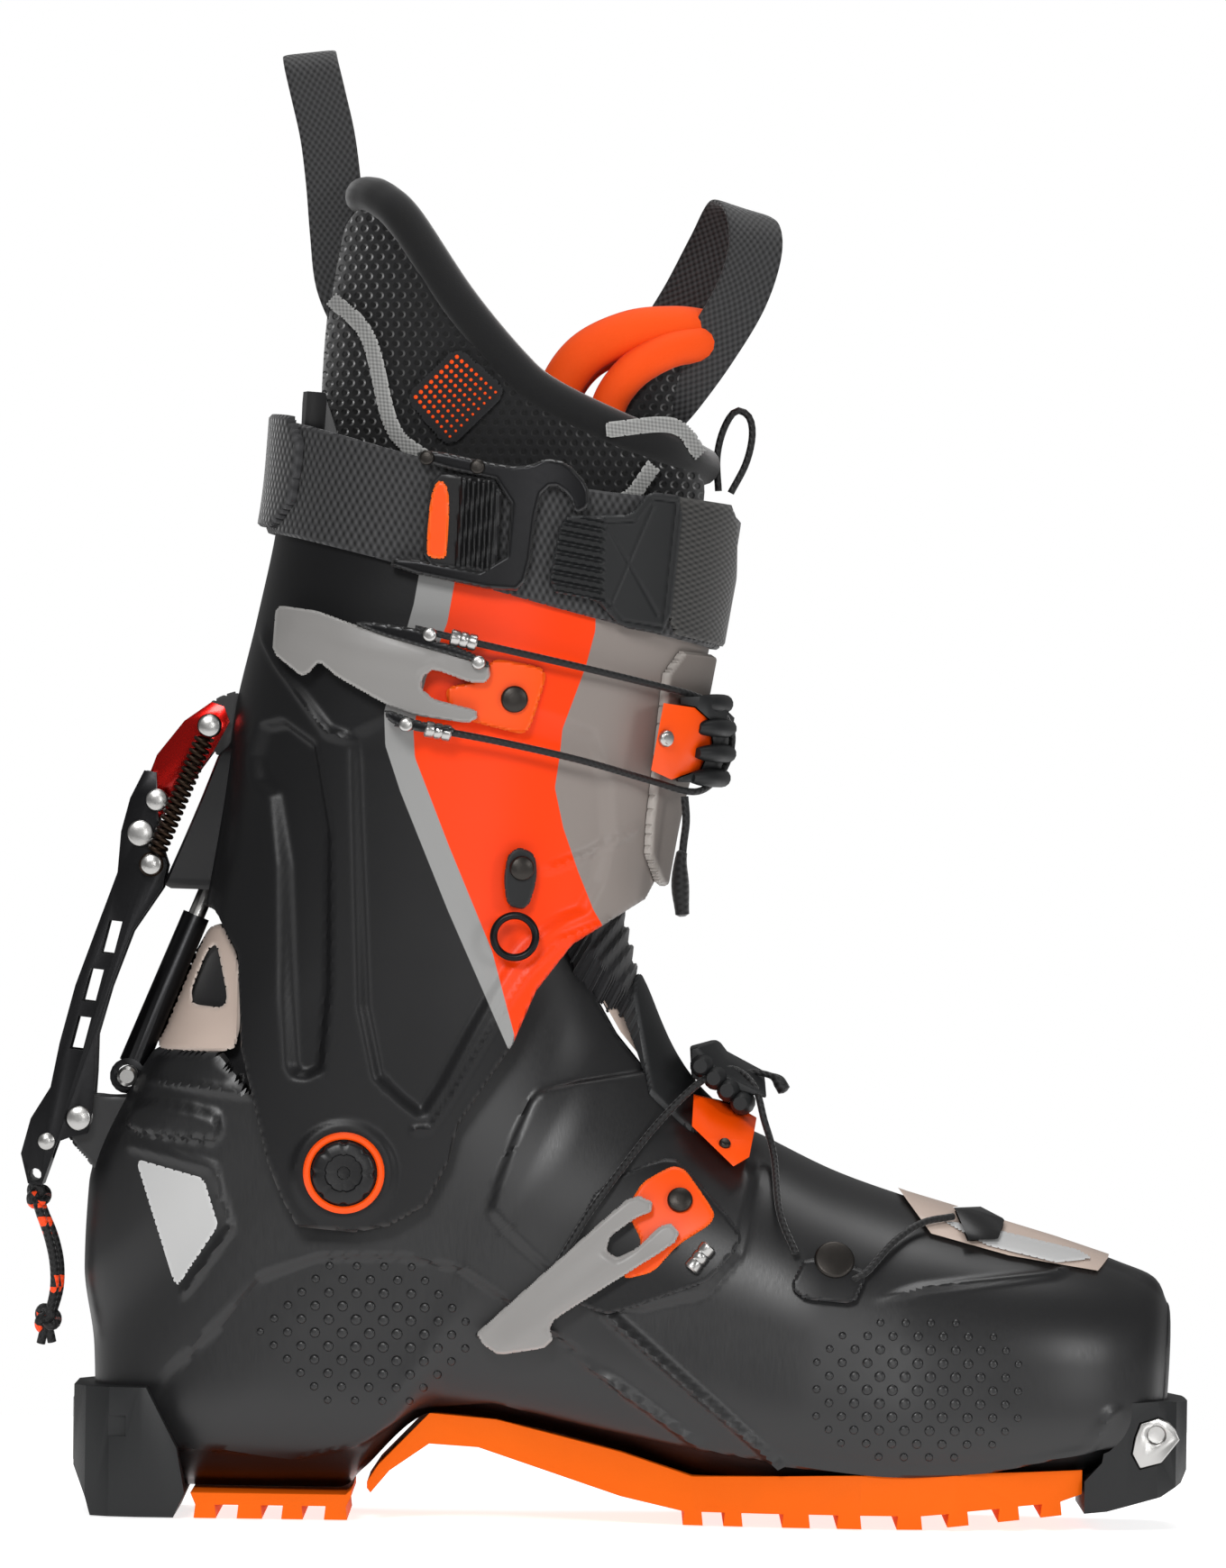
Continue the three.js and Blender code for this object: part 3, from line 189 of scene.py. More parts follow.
def spline(points: Sequence[Sequence[float]], count: int, closed: bool = False) -> Array:
    """Smooth curve through points: a cubic between each two whose slopes follow the neighbours.

    Args:
        points: Points of any dimension.
        count: Number of points returned, spaced evenly along the curve.
        closed: Whether the curve returns to its start.

    Returns:
        count points along the curve.
    """
    p = np.asarray(points, float)
    if closed:
        p = np.vstack([p, p[:1]])
        before, after = np.vstack([p[-2], p[:-1]]), np.vstack([p[1:], p[1]])
    else:
        before = np.vstack([2 * p[0] - p[1], p[:-1]])
        after = np.vstack([p[1:], 2 * p[-1] - p[-2]])
    slope = (after - before) / 2
    at = np.linspace(0, len(p) - 1, 24 * len(p))
    k = np.minimum(at.astype(int), len(p) - 2)
    f = (at - k)[:, None]
    dense = cubic(p, slope, k, f)
    run = np.concatenate([[0], np.cumsum(np.linalg.norm(np.diff(dense, axis=0), axis=1))])
    want = np.linspace(0, run[-1], count + 1 if closed else count)[:count]
    return np.stack([np.interp(want, run, dense[:, c]) for c in range(dense.shape[1])], 1)


# ---------------------------------------------------------------- the boot's curved walls
@dataclass(frozen=True)
class Hull:
    """Curved wall skinned over oval rings.

    Each ring stands across the boot, in the plane through its rear point a and its front point b.
    A row is (a.x, a.z, b.x, b.z, half width at a, at b, squareness at a, at b). Along a ring at
    turn t, u is cos(t) to the power 2/squareness and y is the half width there times sin(t) to
    the same power, and the point is the ring's middle plus u times half its length.
    """

    rows: tuple[tuple[float, ...], ...]
    cap: float = 0.0

    def _row(self, v: Array) -> Array:
        """Ring sizes at station number v, by a cubic that never swings past the stations."""
        table = np.asarray(self.rows, float)
        step = np.diff(table, axis=0)
        both = step[:-1] * step[1:]
        inner = np.where(both > 0, 2 * both / np.where(both > 0, step[:-1] + step[1:], 1), 0)
        slope = np.vstack([step[:1], inner, step[-1:]])
        v = np.clip(v, 0, len(table) - 1)
        k = np.minimum(v.astype(int), len(table) - 2)
        return cubic(table, slope, k, (v - k)[..., None])

    def _ring(self, v: Array) -> tuple[Array, Array, Array, Array]:
        """Middle, direction, half length and row of the rings at v."""
        row = self._row(v)
        span = row[..., 2:4] - row[..., 0:2]
        length = np.linalg.norm(span, axis=-1)
        return (row[..., 0:2] + row[..., 2:4]) / 2, span / length[..., None], length / 2, row

    def place(self, v: Array, turn: Array, lift: Array = 0.0) -> Array:
        """Points of the wall at station v and turn, moved outward by lift."""
        middle, along, half, row = self._ring(v)
        c, s = np.cos(turn), np.sin(turn)
        power = 2.0 / np.where(c > 0, row[..., 7], row[..., 6])
        u = np.sign(c) * np.abs(c) ** power
        wide = row[..., 4] + (row[..., 5] - row[..., 4]) * (1 + u) / 2
        past = np.clip(-v, 0.0, 1.0)
        shrink = (1.0 - past**2.4) ** (1 / 2.4)
        y = (wide + lift) * np.sign(s) * np.abs(s) ** power * shrink
        out = (half + lift) * u * shrink
        x = middle[..., 0] + along[..., 0] * out + along[..., 1] * (past * self.cap)
        z = middle[..., 1] + along[..., 1] * out - along[..., 0] * (past * self.cap)
        return np.stack([x, y, z], -1)

    def locate(self, x: Array, z: Array) -> Array:
        """Station number of the ring whose plane holds each side view point, by halving."""
        low, high = np.zeros(x.shape), np.full(x.shape, len(self.rows) - 1.0)
        for _ in range(22):
            v = (low + high) / 2
            middle, along, _, _ = self._ring(v)
            side = (x - middle[..., 0]) * along[..., 1] - (z - middle[..., 1]) * along[..., 0]
            low, high = np.where(side < 0, v, low), np.where(side < 0, high, v)
        return (low + high) / 2

    def side(self, x: Array, z: Array, lift: Array = 0.0, sign: float = -1.0) -> Array:
        """Points of the outer (sign -1) or inner (+1) side of the wall seen at x, z."""
        middle, along, half, row = self._ring(self.locate(x, z))
        reach = (x - middle[..., 0]) * along[..., 0] + (z - middle[..., 1]) * along[..., 1]
        u = np.clip(reach / (half + lift), -1, 1)
        power = np.where(u > 0, row[..., 7], row[..., 6])
        wide = row[..., 4] + (row[..., 5] - row[..., 4]) * (1 + u) / 2 + lift
        y = sign * wide * (1 - np.abs(u) ** power) ** (1 / power)
        return np.stack([x + 0 * y, y, z + 0 * y], -1)

    def grid(self, rows: int, sides: int, first: float = 0.0, last: float = -1.0
             ) -> tuple[Array, Array]:
        """Station and turn numbers over the wall, closer together on its outer side.

        Args:
            rows: Rings from end to end.
            sides: Points round a ring.
            first: Station number of the first ring, below 0 to round the end off.
            last: Station number of the last ring, below 0 for the last station.

        Returns:
            Two arrays of rows by sides + 1, whose last column closes the ring.
        """
        dense = np.linspace(max(first, 0.0), last if last > 0 else len(self.rows) - 1, 600)
        row = self._row(dense)
        move = np.hypot(np.diff(row[:, [0, 2]], axis=0), np.diff(row[:, [1, 3]], axis=0)).max(1)
        run = np.concatenate([[0], np.cumsum(move)])
        v = np.interp(np.linspace(0, run[-1], rows), run, dense)
        if first < 0:
            v = np.concatenate([first * np.cos(np.linspace(0, np.pi / 2, 9))[:-1], v])
        turn = np.linspace(0, 2 * np.pi, 721)
        ring = self.place(v[:, None], turn[None, :] + 0 * v[:, None], 0.0)
        around = np.cumsum(np.linalg.norm(np.diff(ring, axis=1), axis=2), axis=1)
        around = np.concatenate([np.zeros((len(v), 1)), around], 1)
        want = np.linspace(0, 1, sides + 1)
        want = want + 0.3 / (2 * np.pi) * (np.sin(2 * np.pi * (want - 0.25)) + 1)
        turns = np.stack([np.interp(want * a[-1], a, turn) for a in around])
        return np.repeat(v[:, None], sides + 1, 1), turns


SHELL = Hull((
    (240.5, 22, 242.5, 60, 20, 15, 3.6, 2.5), (236.5, 17.5, 239.5, 66, 30, 23, 3.6, 2.5),
    (226, 14.3, 229, 70.5, 38.5, 31, 3.6, 2.4), (208, 10.6, 212, 76, 45.5, 38, 3.6, 2.3),
    (188, 7.4, 193, 81.5, 49.5, 42, 3.6, 2.2), (165, 5.8, 172, 87.5, 52, 44, 3.6, 2.2),
    (143, 6.2, 153, 94, 51, 44, 3.6, 2.2), (118, 10.4, 135, 102.5, 47, 42, 3.6, 2.2),
    (95, 18, 119, 110.5, 43.5, 39, 3.6, 2.2), (70, 24.3, 109, 121.5, 41, 37, 3.6, 2.2),
    (46, 27.6, 100, 133, 39.5, 36.5, 3.6, 2.2), (27, 12.5, 94, 142.5, 38.5, 36.5, 3.6, 2.2),
    (20, 7, 90, 150.5, 37.5, 36.5, 3.6, 2.2), (0, 7, 87, 158, 36, 36.5, 3.6, 2.2),
    (-22, 7.2, 85, 164, 34.5, 36.5, 3.4, 2.2), (-40, 9, 84, 169, 32, 36.5, 3, 2.2),
    (-45.5, 22, 84, 173, 31, 36.5, 2.7, 2.2), (-46.5, 45, 84, 177, 31, 36.5, 2.4, 2.2),
    (-49.4, 66, 84, 181, 31, 36.5, 2.3, 2.2), (-48.5, 88, 84, 185, 31, 36.5, 2.3, 2.2),
    (-38.5, 113, 84, 189, 32, 36.5, 2.3, 2.2), (-30, 128, 84.5, 193, 32, 36.5, 2.3, 2.2),
    (-21, 150, 85, 197, 32, 36.5, 2.3, 2.2), (-15.5, 163, 85.5, 201, 32, 36.5, 2.3, 2.2),
), cap=1.6)
CUFF = Hull((
    (-40, 66, 88, 66, 43, 43, 3, 3), (-34, 100, 92, 100, 43.5, 43.5, 3, 3),
    (-27, 130, 96, 130, 44, 44, 2.9, 2.9), (-21, 150, 99.5, 150, 44.5, 43.5, 2.7, 2.7),
    (-17, 170, 103.5, 168, 45, 43, 2.6, 2.5), (-14, 190, 107, 188, 46, 43, 2.5, 2.4),
    (-11, 215, 112.5, 212, 47, 43.5, 2.5, 2.3), (-5.5, 240, 116, 231, 48, 44, 2.5, 2.3),
    (-1, 262, 118.5, 246, 48.5, 44.5, 2.4, 2.3), (1, 276, 120.5, 258, 48.5, 45, 2.4, 2.3),
    (3, 306, 125, 290, 48.5, 46, 2.4, 2.3),
))
LINER = Hull((
    (-2, 156, 88, 163, 34, 34, 2.4, 2.3), (-3, 180, 97, 180, 38, 36, 2.4, 2.3),
    (-3, 200, 102, 200, 40.5, 38, 2.4, 2.3), (-1, 222, 106, 218, 41.5, 39, 2.4, 2.3),
    (3, 243, 109.5, 236, 43, 40, 2.4, 2.3), (6.5, 262, 112, 254, 43.5, 40.5, 2.4, 2.3),
    (10.5, 285, 115, 272, 43.5, 41, 2.4, 2.3), (11, 309, 118, 288, 43, 41, 2.4, 2.3),
    (12.5, 330, 124, 305, 42.5, 41, 2.4, 2.3), (17, 358, 130, 332, 41.5, 40, 2.4, 2.3),
))


# ---------------------------------------------------------------- meshes
def make_mesh(name: str, points: Array, quads: Array, fields: Optional[dict[str, Array]] = None,
              sharp: float = 38.0, closed: bool = True) -> Piece:
    """Turn points and four-sided faces into an object at the origin.

    Args:
        name: The piece's name.
        points: Points in millimetres, n by 3.
        quads: Point numbers, m by 4; a face with its last two the same is a triangle.
        fields: Values per point kept as attributes, n or n by 3.
        sharp: Edges that turn by more than these degrees stay sharp.
        closed: Turn the faces outwards, by the sign of the volume that they close in.

    Returns:
        The object, linked to the scene.
    """
    points, quads = np.asarray(points, float).reshape(-1, 3), np.asarray(quads, np.int64)
    a, b, c, d = (points[quads[:, k]] for k in range(4))
    volume = (a * np.cross(b, c)).sum() + (a * np.cross(c, d)).sum()
    if closed and volume < 0:
        quads = quads[:, ::-1]
    three = quads[:, 2] == quads[:, 3]
    turned = (quads[:, 0] == quads[:, 1]) & ~three
    flat = np.concatenate([quads[~three & ~turned].ravel(), quads[three][:, :3].ravel(),
                           quads[turned][:, 1:].ravel()])
    sizes = np.concatenate([np.full((~three & ~turned).sum(), 4), np.full(three.sum(), 3),
                            np.full(turned.sum(), 3)]).astype(np.int64)
    mesh = bpy.data.meshes.new(name)
    mesh.vertices.add(len(points))
    mesh.vertices.foreach_set("co", (points * MM).astype(np.float32).ravel())
    mesh.loops.add(len(flat))
    mesh.loops.foreach_set("vertex_index", flat.astype(np.int32))
    mesh.polygons.add(len(sizes))
    starts = np.concatenate([[0], np.cumsum(sizes)[:-1]]).astype(np.int32)
    mesh.polygons.foreach_set("loop_start", starts)
    mesh.update(calc_edges=True)
    mesh.validate()
    for key, value in (fields or {}).items():
        kind = "FLOAT_VECTOR" if value.ndim == 2 else "FLOAT"
        store = mesh.attributes.new(key, kind, "POINT")
        store.data.foreach_set("vector" if value.ndim == 2 else "value",
                               value.astype(np.float32).ravel())
    mesh.shade_smooth()
    mesh.set_sharp_from_angle(angle=math.radians(sharp))
    piece = bpy.data.objects.new(name, mesh)
    bpy.context.scene.collection.objects.link(piece)
    return piece


@dataclass
class Sheet:
    """Wall piece cut out of a two-parameter surface, with two faces and a rim.

    Points of a parameter grid whose field is negative are kept. Those within half a cell of the
    edge move onto it: along the field's slope, by the field over the slope. The outer face lies
    at the top lift and the inner one at the bottom lift, and edges with one face get a rim.
    """

    name: str
    first: Array
    second: Array
    place: Place
    edge: Optional[Field] = None
    top: Callable[[Array], Array] = lambda at: np.zeros(at.shape[:-1])
    bottom: float | Callable[[Array], Array] = 1.0
    round_off: float = 0.6
    wrap: bool = False
    fields: dict[str, Field] = field(default_factory=dict)
    sharp: float = 38.0

    def _seen(self, p: Array, q: Array) -> tuple[Array, Array, Array]:
        """Lift, points and field at the parameters."""
        base = self.place(p, q, np.zeros(p.shape))
        lift = self.top(base)
        at = self.place(p, q, lift)
        gap = self.edge(at) if self.edge else np.full(p.shape, -50.0)
        return lift, at, gap

    def build(self) -> Piece:
        """Cut the sheet out and make its mesh.

        Returns:
            The piece.
        """
        p, q = self.first.astype(float).copy(), self.second.astype(float).copy()
        _, _, gap = self._seen(p, q)
        slope_i, slope_j = np.gradient(gap)
        square = slope_i**2 + slope_j**2 + 1e-9
        cells = gap / np.sqrt(square)
        keep = cells < 0.5
        near = keep & (cells > -0.5)
        p_i, p_j = np.gradient(p)
        q_i, q_j = np.gradient(q)
        for _ in range(3):
            step_i = np.clip(-gap * slope_i / square, -0.6, 0.6) * near
            step_j = np.clip(-gap * slope_j / square, -0.6, 0.6) * near
            p, q = p + step_i * p_i + step_j * p_j, q + step_i * q_i + step_j * q_j
            _, _, gap = self._seen(p, q)
        if self.wrap:
            p[:, -1], q[:, -1], keep[:, -1] = p[:, 0], q[:, 0] + 2 * np.pi, keep[:, 0]
        lift, at, gap = self._seen(p, q)
        inside = np.clip(-gap, 0, self.round_off) if self.round_off > 0 else gap * 0
        fall = self.round_off - np.sqrt(
            np.clip(self.round_off**2 - (self.round_off - inside) ** 2, 0, None))
        low = self.bottom(at) if callable(self.bottom) else np.full(gap.shape, self.bottom)
        outer = self.place(p, q, lift - np.minimum(fall, lift - low - 0.1))
        inner = self.place(p, q, low)
        number = np.where(keep, np.cumsum(keep.ravel()).reshape(keep.shape) - 1, -1)
        if self.wrap:
            number[:, -1] = number[:, 0]
        count = int(keep.sum())
        corners = np.stack([number[:-1, :-1], number[1:, :-1], number[1:, 1:],
                            number[:-1, 1:]], -1).reshape(-1, 4)
        quads = corners[(corners >= 0).all(1)]
        sides = np.concatenate([quads[:, [k, (k + 1) % 4]] for k in range(4)])
        key = np.sort(sides, 1) @ np.array([count + 1, 1])
        _, index, times = np.unique(key, return_index=True, return_counts=True)
        rim = sides[index[times == 1]]
        walls = np.stack([rim[:, 1], rim[:, 0], rim[:, 0] + count, rim[:, 1] + count], 1)
        faces = np.concatenate([quads, quads[:, ::-1] + count, walls])
        points = np.concatenate([outer[keep], inner[keep]])
        used, faces = np.unique(faces, return_inverse=True)
        faces = faces.reshape(-1, 4)
        # Painted edge highlight: 1 at the cut edge, easing to 0 within 0.9 mm inside it.
        kept_fields = {"edge_highlight": np.tile(ease(1.0 + gap[keep] / 0.9), 2)[used]}
        for key_name, make in self.fields.items():
            value = make(at)[keep]
            kept_fields[key_name] = np.concatenate([value, value])[used]
        return make_mesh(self.name, points[used], faces, kept_fields, self.sharp)


def side_grid(outline: Outline, step: float, margin: float = 1.5) -> tuple[Array, Array]:
    """Even grid of side view points over an outline's box, as two arrays."""
    low, high = np.min(outline, 0) - margin, np.max(outline, 0) + margin
    count = np.ceil((high - low) / step).astype(int) + 1
    return tuple(np.meshgrid(np.linspace(low[0], high[0], count[0]),
                             np.linspace(low[1], high[1], count[1]), indexing="ij"))


def plate(name: str, hull: Hull, outline: Outline, low: float, high: float, step: float = 0.9,
          round_off: float = 0.8, sign: float = -1.0, holes: Sequence[Outline] = (),
          shape: Optional[Field] = None, fields: Optional[dict[str, Field]] = None
          ) -> Piece:
    """Piece that lies on a wall, between two heights above it.

    Args:
        name: The piece's name.
        hull: The wall it lies on.
        outline: Its outline in the side view.
        low: Height of its underside above the wall.
        high: Height of its top.
        step: Grid spacing.
        round_off: Radius of its top edge.
        sign: -1 for the outer side, +1 for the inner.
        holes: Outlines cut out of it.
        shape: Extra height over its top, from the points.
        fields: Attributes from the points.

    Returns:
        The piece.
    """
    x, z = side_grid(outline, step)

    def edge(at: Array) -> Array:
        """Inside the outline and outside every hole."""
        gap = inside(outline)(at)
        for hole in holes:
            gap = np.maximum(gap, -inside(hole)(at))
        return gap

    def top(at: Array) -> Array:
        """Height of the top face."""
        return high + (shape(at) if shape else np.zeros(at.shape[:-1]))

    return Sheet(name, x, z, lambda p, q, lift: hull.side(p, q, lift, sign), edge, top, low,
                 round_off, fields=fields or {}).build()


def flat_plate(name: str, outline: Outline, y0: float, y1: float, step: float = 0.8,
               round_off: float = 0.5) -> Piece:
    """Flat plate across Y, cut to an outline in the side view.

    Args:
        name: The piece's name.
        outline: Its outline.
        y0: Place of its inner face.
        y1: Place of its outer face, whose edge is rounded.
        step: Grid spacing.
        round_off: Radius of that edge.

    Returns:
        The piece.
    """
    x, z = side_grid(outline, step)
    out = math.copysign(1.0, y1 - y0)

    return Sheet(name, x, z, lambda p, q, lift: np.stack([p, y0 + out * lift, q], -1),
                 inside(outline), level(abs(y1 - y0)), 0.0, round_off).build()


def sweep(name: str, path: Array, section: Array, closed: bool = False,
          scale: Optional[Array] = None, side: Sequence[float] = (0, 1, 0)) -> Piece:
    """Carry a closed section along a path.

    Each ring is the path's point plus the section's first value along the side direction, made
    square to the path, and its second along the cross of the two. The attribute weave keeps
    millimetres along and round the piece.

    Args:
        name: The piece's name.
        path: Points in millimetres, n by 3.
        section: Closed section, k by 2, or n by k by 2 for one that changes.
        closed: Whether the path closes on itself.
        scale: Size of the section at each point.
        side: Direction that the section's first axis keeps to.

    Returns:
        The piece.
    """
    path = np.asarray(path, float)
    count = len(path)
    if closed:
        tangent = np.roll(path, -1, 0) - np.roll(path, 1, 0)
    else:
        tangent = np.gradient(path, axis=0)
    tangent /= np.linalg.norm(tangent, axis=1, keepdims=True)
    first = np.asarray(side, float) - (tangent @ np.asarray(side, float))[:, None] * tangent
    first /= np.linalg.norm(first, axis=1, keepdims=True) + 1e-9
    second = np.cross(tangent, first)
    shape = np.broadcast_to(section, (count, *np.shape(section)[-2:]))
    size = np.ones(count) if scale is None else np.asarray(scale, float)
    shape = shape * size[:, None, None]
    rings = (path[:, None] + first[:, None] * shape[..., :1] + second[:, None] * shape[..., 1:])
    k = rings.shape[1]
    i, j = np.meshgrid(np.arange(count if closed else count - 1), np.arange(k), indexing="ij")
    a, b = i * k + j, i * k + (j + 1) % k
    c, d = ((i + 1) % count) * k + (j + 1) % k, ((i + 1) % count) * k + j
    quads = np.stack([a, b, c, d], -1).reshape(-1, 4)
    points = rings.reshape(-1, 3)
    if not closed:
        ends = np.stack([path[0], path[-1]])
        points = np.concatenate([points, ends])
        ring = np.arange(k)
        near = np.stack([(ring + 1) % k, ring, np.full(k, count * k), np.full(k, count * k)], 1)
        last = (count - 1) * k
        far = np.stack([last + ring, last + (ring + 1) % k, np.full(k, count * k + 1),
                        np.full(k, count * k + 1)], 1)
        quads = np.concatenate([quads, near, far])
    run = np.concatenate([[0], np.cumsum(np.linalg.norm(np.diff(path, axis=0), axis=1))])
    around = np.linalg.norm(np.diff(np.vstack([shape[0], shape[0][:1]]), axis=0), axis=1)
    round_mm = np.concatenate([[0], np.cumsum(around)[:-1]])
    grid = np.stack(np.broadcast_arrays(run[:, None], round_mm[None, :], 0.0), -1)
    values = grid.reshape(-1, 3)
    if not closed:
        values = np.concatenate([values, [[0, 0, 0], [run[-1], 0, 0]]])
    return make_mesh(name, points, quads, {"weave": values})


def circle_path(radius: float, count: int = 48) -> Array:
    """Closed circle about the origin, in the side view's plane."""
    turn = np.linspace(0, 2 * np.pi, count, endpoint=False)
    return np.stack([radius * np.cos(turn), 0 * turn, radius * np.sin(turn)], 1)


def ring_section(radius: float, count: int = 12) -> Array:
    """Round section of a bar."""
    turn = np.linspace(0, 2 * np.pi, count, endpoint=False)
    return np.stack([np.cos(turn), np.sin(turn)], 1) * radius


def band_section(width: float, thick: float, count: int = 28, power: float = 8.0) -> Array:
    """Flat section with rounded edges: a squared ellipse, wide along its first axis."""
    turn = np.linspace(0, 2 * np.pi, count, endpoint=False) + np.pi / count
    c, s = np.cos(turn), np.sin(turn)
    return np.stack([np.sign(c) * np.abs(c) ** (2 / power) * width / 2,
                     np.sign(s) * np.abs(s) ** (2 / 2.6) * thick / 2], 1)


def turned(name: str, centre: Sequence[float], axis: Sequence[float],
           profile: Sequence[tuple[float, float]], sides: int = 48,
           lobes: Optional[Callable[[Array], Array]] = None) -> Piece:
    """Turn a profile about an axis: radius times the cosine and sine of the turn.

    Args:
        name: The piece's name.
        centre: Point of the axis at height 0.
        axis: Direction of the axis.
        profile: Pairs of radius and height, from one end to the other.
        sides: Points round a ring.
        lobes: Scale of the radius, from the turn.

    Returns:
        The piece, with both ends closed.
    """
    z = np.asarray(axis, float) / np.linalg.norm(axis)
    helper = np.array([1.0, 0, 0]) if abs(z[0]) < 0.9 else np.array([0, 0, 1.0])
    x = np.cross(helper, z)
    x /= np.linalg.norm(x)
    y = np.cross(z, x)
    pairs = np.asarray(profile, float)
    turn = np.linspace(0, 2 * np.pi, sides, endpoint=False)
    radius = pairs[:, :1] * (lobes(turn)[None, :] if lobes else np.ones((1, sides)))
    points = (np.asarray(centre, float) + radius[..., None] * (
        np.cos(turn)[None, :, None] * x + np.sin(turn)[None, :, None] * y)
        + pairs[:, 1][:, None, None] * z)
    i, j = np.meshgrid(np.arange(len(pairs) - 1), np.arange(sides), indexing="ij")
    quads = np.stack([i * sides + j, i * sides + (j + 1) % sides,
                      (i + 1) * sides + (j + 1) % sides, (i + 1) * sides + j], -1)
    quads = quads.reshape(-1, 4)
    points = points.reshape(-1, 3)
    ends = np.asarray(centre, float) + pairs[[0, -1], 1][:, None] * z
    first, last = len(points), len(points) + 1
    ring = np.arange(sides)
    caps = [np.stack([(ring + 1) % sides, ring, np.full(sides, first), np.full(sides, first)], 1)]
    base = (len(pairs) - 1) * sides
    caps.append(np.stack([base + ring, base + (ring + 1) % sides, np.full(sides, last),
                          np.full(sides, last)], 1))
    return make_mesh(name, np.concatenate([points, ends]), np.concatenate([quads, *caps]))


def dome(radius: float, height: float, edge: float = 0.5) -> list[tuple[float, float]]:
    """Profile of a rivet head: a straight side, a rounded shoulder and a low crown."""
    turn = np.linspace(0, np.pi / 2, 5)
    shoulder = [(radius - edge + edge * math.cos(t), height - edge + edge * math.sin(t))
                for t in turn]
    return [(radius, 0.0), *shoulder, (radius * 0.6, height + 0.25), (radius * 0.25, height + 0.35)]


# ---------------------------------------------------------------- finishes
def linear(code: str) -> tuple[float, float, float, float]:
    """sRGB hex code to the linear colour that shader sockets take."""
    parts = [int(code[k:k + 2], 16) / 255 for k in (1, 3, 5)]
    return (*[c / 12.92 if c <= 0.04045 else ((c + 0.055) / 1.055) ** 2.4 for c in parts], 1.0)


def add_node(tree: Tree, kind: str, inputs: Optional[dict] = None,
             **settings: object) -> bpy.types.Node:
    """Add a node, set its properties, and fill or join its inputs.

    Args:
        tree: The material's node tree.
        kind: The node's type name.
        inputs: Input name or number to a value or to the socket that feeds it.
        **settings: Properties of the node.

    Returns:
        The node.
    """
    made = tree.nodes.new(kind)
    for key, value in settings.items():
        setattr(made, key, value)
    for key, value in (inputs or {}).items():
        if isinstance(value, Socket):
            tree.links.new(value, made.inputs[key])
        else:
            made.inputs[key].default_value = value
    return made


@dataclass(frozen=True)
class Finish:
    """Moulded, painted or bare surface.

    Its colour drifts between two tones, a fine grain sits in its bump, and its edges, where the rim
    attribute from Sheet is 1, show the edge tone: a painted highlight along every rim.
    """

    name: str
    base: str
    # Second tone: a broad colour drift, and in woven and knitted finishes the painted shade in their gaps
    # and holes.
    drift_and_gap_shade: str
    # Colour of the painted highlight along the rims.
    edge: str
    roughness: float = 0.45
    spread: float = 0.06
    metallic: float = 0.0
    coat: float = 0.0
    sheen: float = 0.0
    grain_mm: float = 0.5
    grain_um: float = 14.0
    stretch: tuple[float, float, float] = (1.0, 1.0, 1.0)
    drift_mm: float = 30.0
    specular: float = 0.3
    glow: float = 0.0
    slot: str = "shell_black"

    def tone(self, tree: Tree, where: Socket) -> Socket:
        """Colour before the painted edge highlight: the base drifting to its second tone in broad patches.
        """
        patches = add_node(tree, "ShaderNodeTexNoise", {
            "Vector": where, "Scale": 1 / (self.drift_mm * MM), "Detail": 3.0})
        mix = add_node(tree, "ShaderNodeMix", {
            0: patches.outputs["Fac"], 6: linear(self.base), 7: linear(self.drift_and_gap_shade)},
            data_type="RGBA")
        return mix.outputs[2]

    def relief(self, tree: Tree, where: Socket) -> Socket:
        """Height of the grain, 0 to 1: fine noise, stretched along the way it was brushed."""
        drawn = add_node(tree, "ShaderNodeMapping", {"Vector": where, "Scale": self.stretch})
        grain = add_node(tree, "ShaderNodeTexNoise", {
            "Vector": drawn.outputs[0], "Scale": 1 / (self.grain_mm * MM), "Detail": 2.0})
        return grain.outputs["Fac"]

    def material(self) -> bpy.types.Material:
        """Build the material, or return the one already built.

        Returns:
            The material.
        """
        found = bpy.data.materials.get(self.name)
        if found:
            return found
        made = bpy.data.materials.new(self.name)
        made.use_nodes = True
        tree = made.node_tree
        shader = tree.nodes["Principled BSDF"]
        where = add_node(tree, "ShaderNodeTexCoord").outputs["Object"]
        # Half of the edge colour is mixed in at the rims: a painted highlight.
        edge_highlight = add_node(tree, "ShaderNodeAttribute", attribute_name="edge_highlight")
        edge_highlight_share = add_node(tree, "ShaderNodeMath", {0: edge_highlight.outputs["Fac"], 1: 0.5},
                        operation="MULTIPLY")
        colour = add_node(tree, "ShaderNodeMix", {
            0: edge_highlight_share.outputs[0], 6: self.tone(tree, where), 7: linear(self.edge)},
            data_type="RGBA")
        height = self.relief(tree, where)
        bump = add_node(tree, "ShaderNodeBump", {
            "Height": height, "Distance": self.grain_um * 1e-6, "Strength": 1.0})
        gloss = add_node(tree, "ShaderNodeMapRange", {
            "Value": height, "To Min": self.roughness - self.spread,
            "To Max": self.roughness + self.spread})
        tree.links.new(colour.outputs[2], shader.inputs["Base Color"])
        tree.links.new(gloss.outputs[0], shader.inputs["Roughness"])
        tree.links.new(bump.outputs[0], shader.inputs["Normal"])
        shader.inputs["Metallic"].default_value = self.metallic
        shader.inputs["Coat Weight"].default_value = self.coat
        shader.inputs["Coat Roughness"].default_value = 0.15
        shader.inputs["Specular IOR Level"].default_value = self.specular
        shader.inputs["Emission Color"].default_value = (1.0, 1.0, 1.0, 1.0)
        shader.inputs["Emission Strength"].default_value = self.glow
        shader.inputs["Sheen Weight"].default_value = self.sheen
        shader.inputs["Sheen Roughness"].default_value = 0.4
        return made

    def dress(self, piece: Piece) -> Piece:
        """Give a piece this finish alone."""
        piece.data.materials.clear()
        piece.data.materials.append(self.material())
        return piece


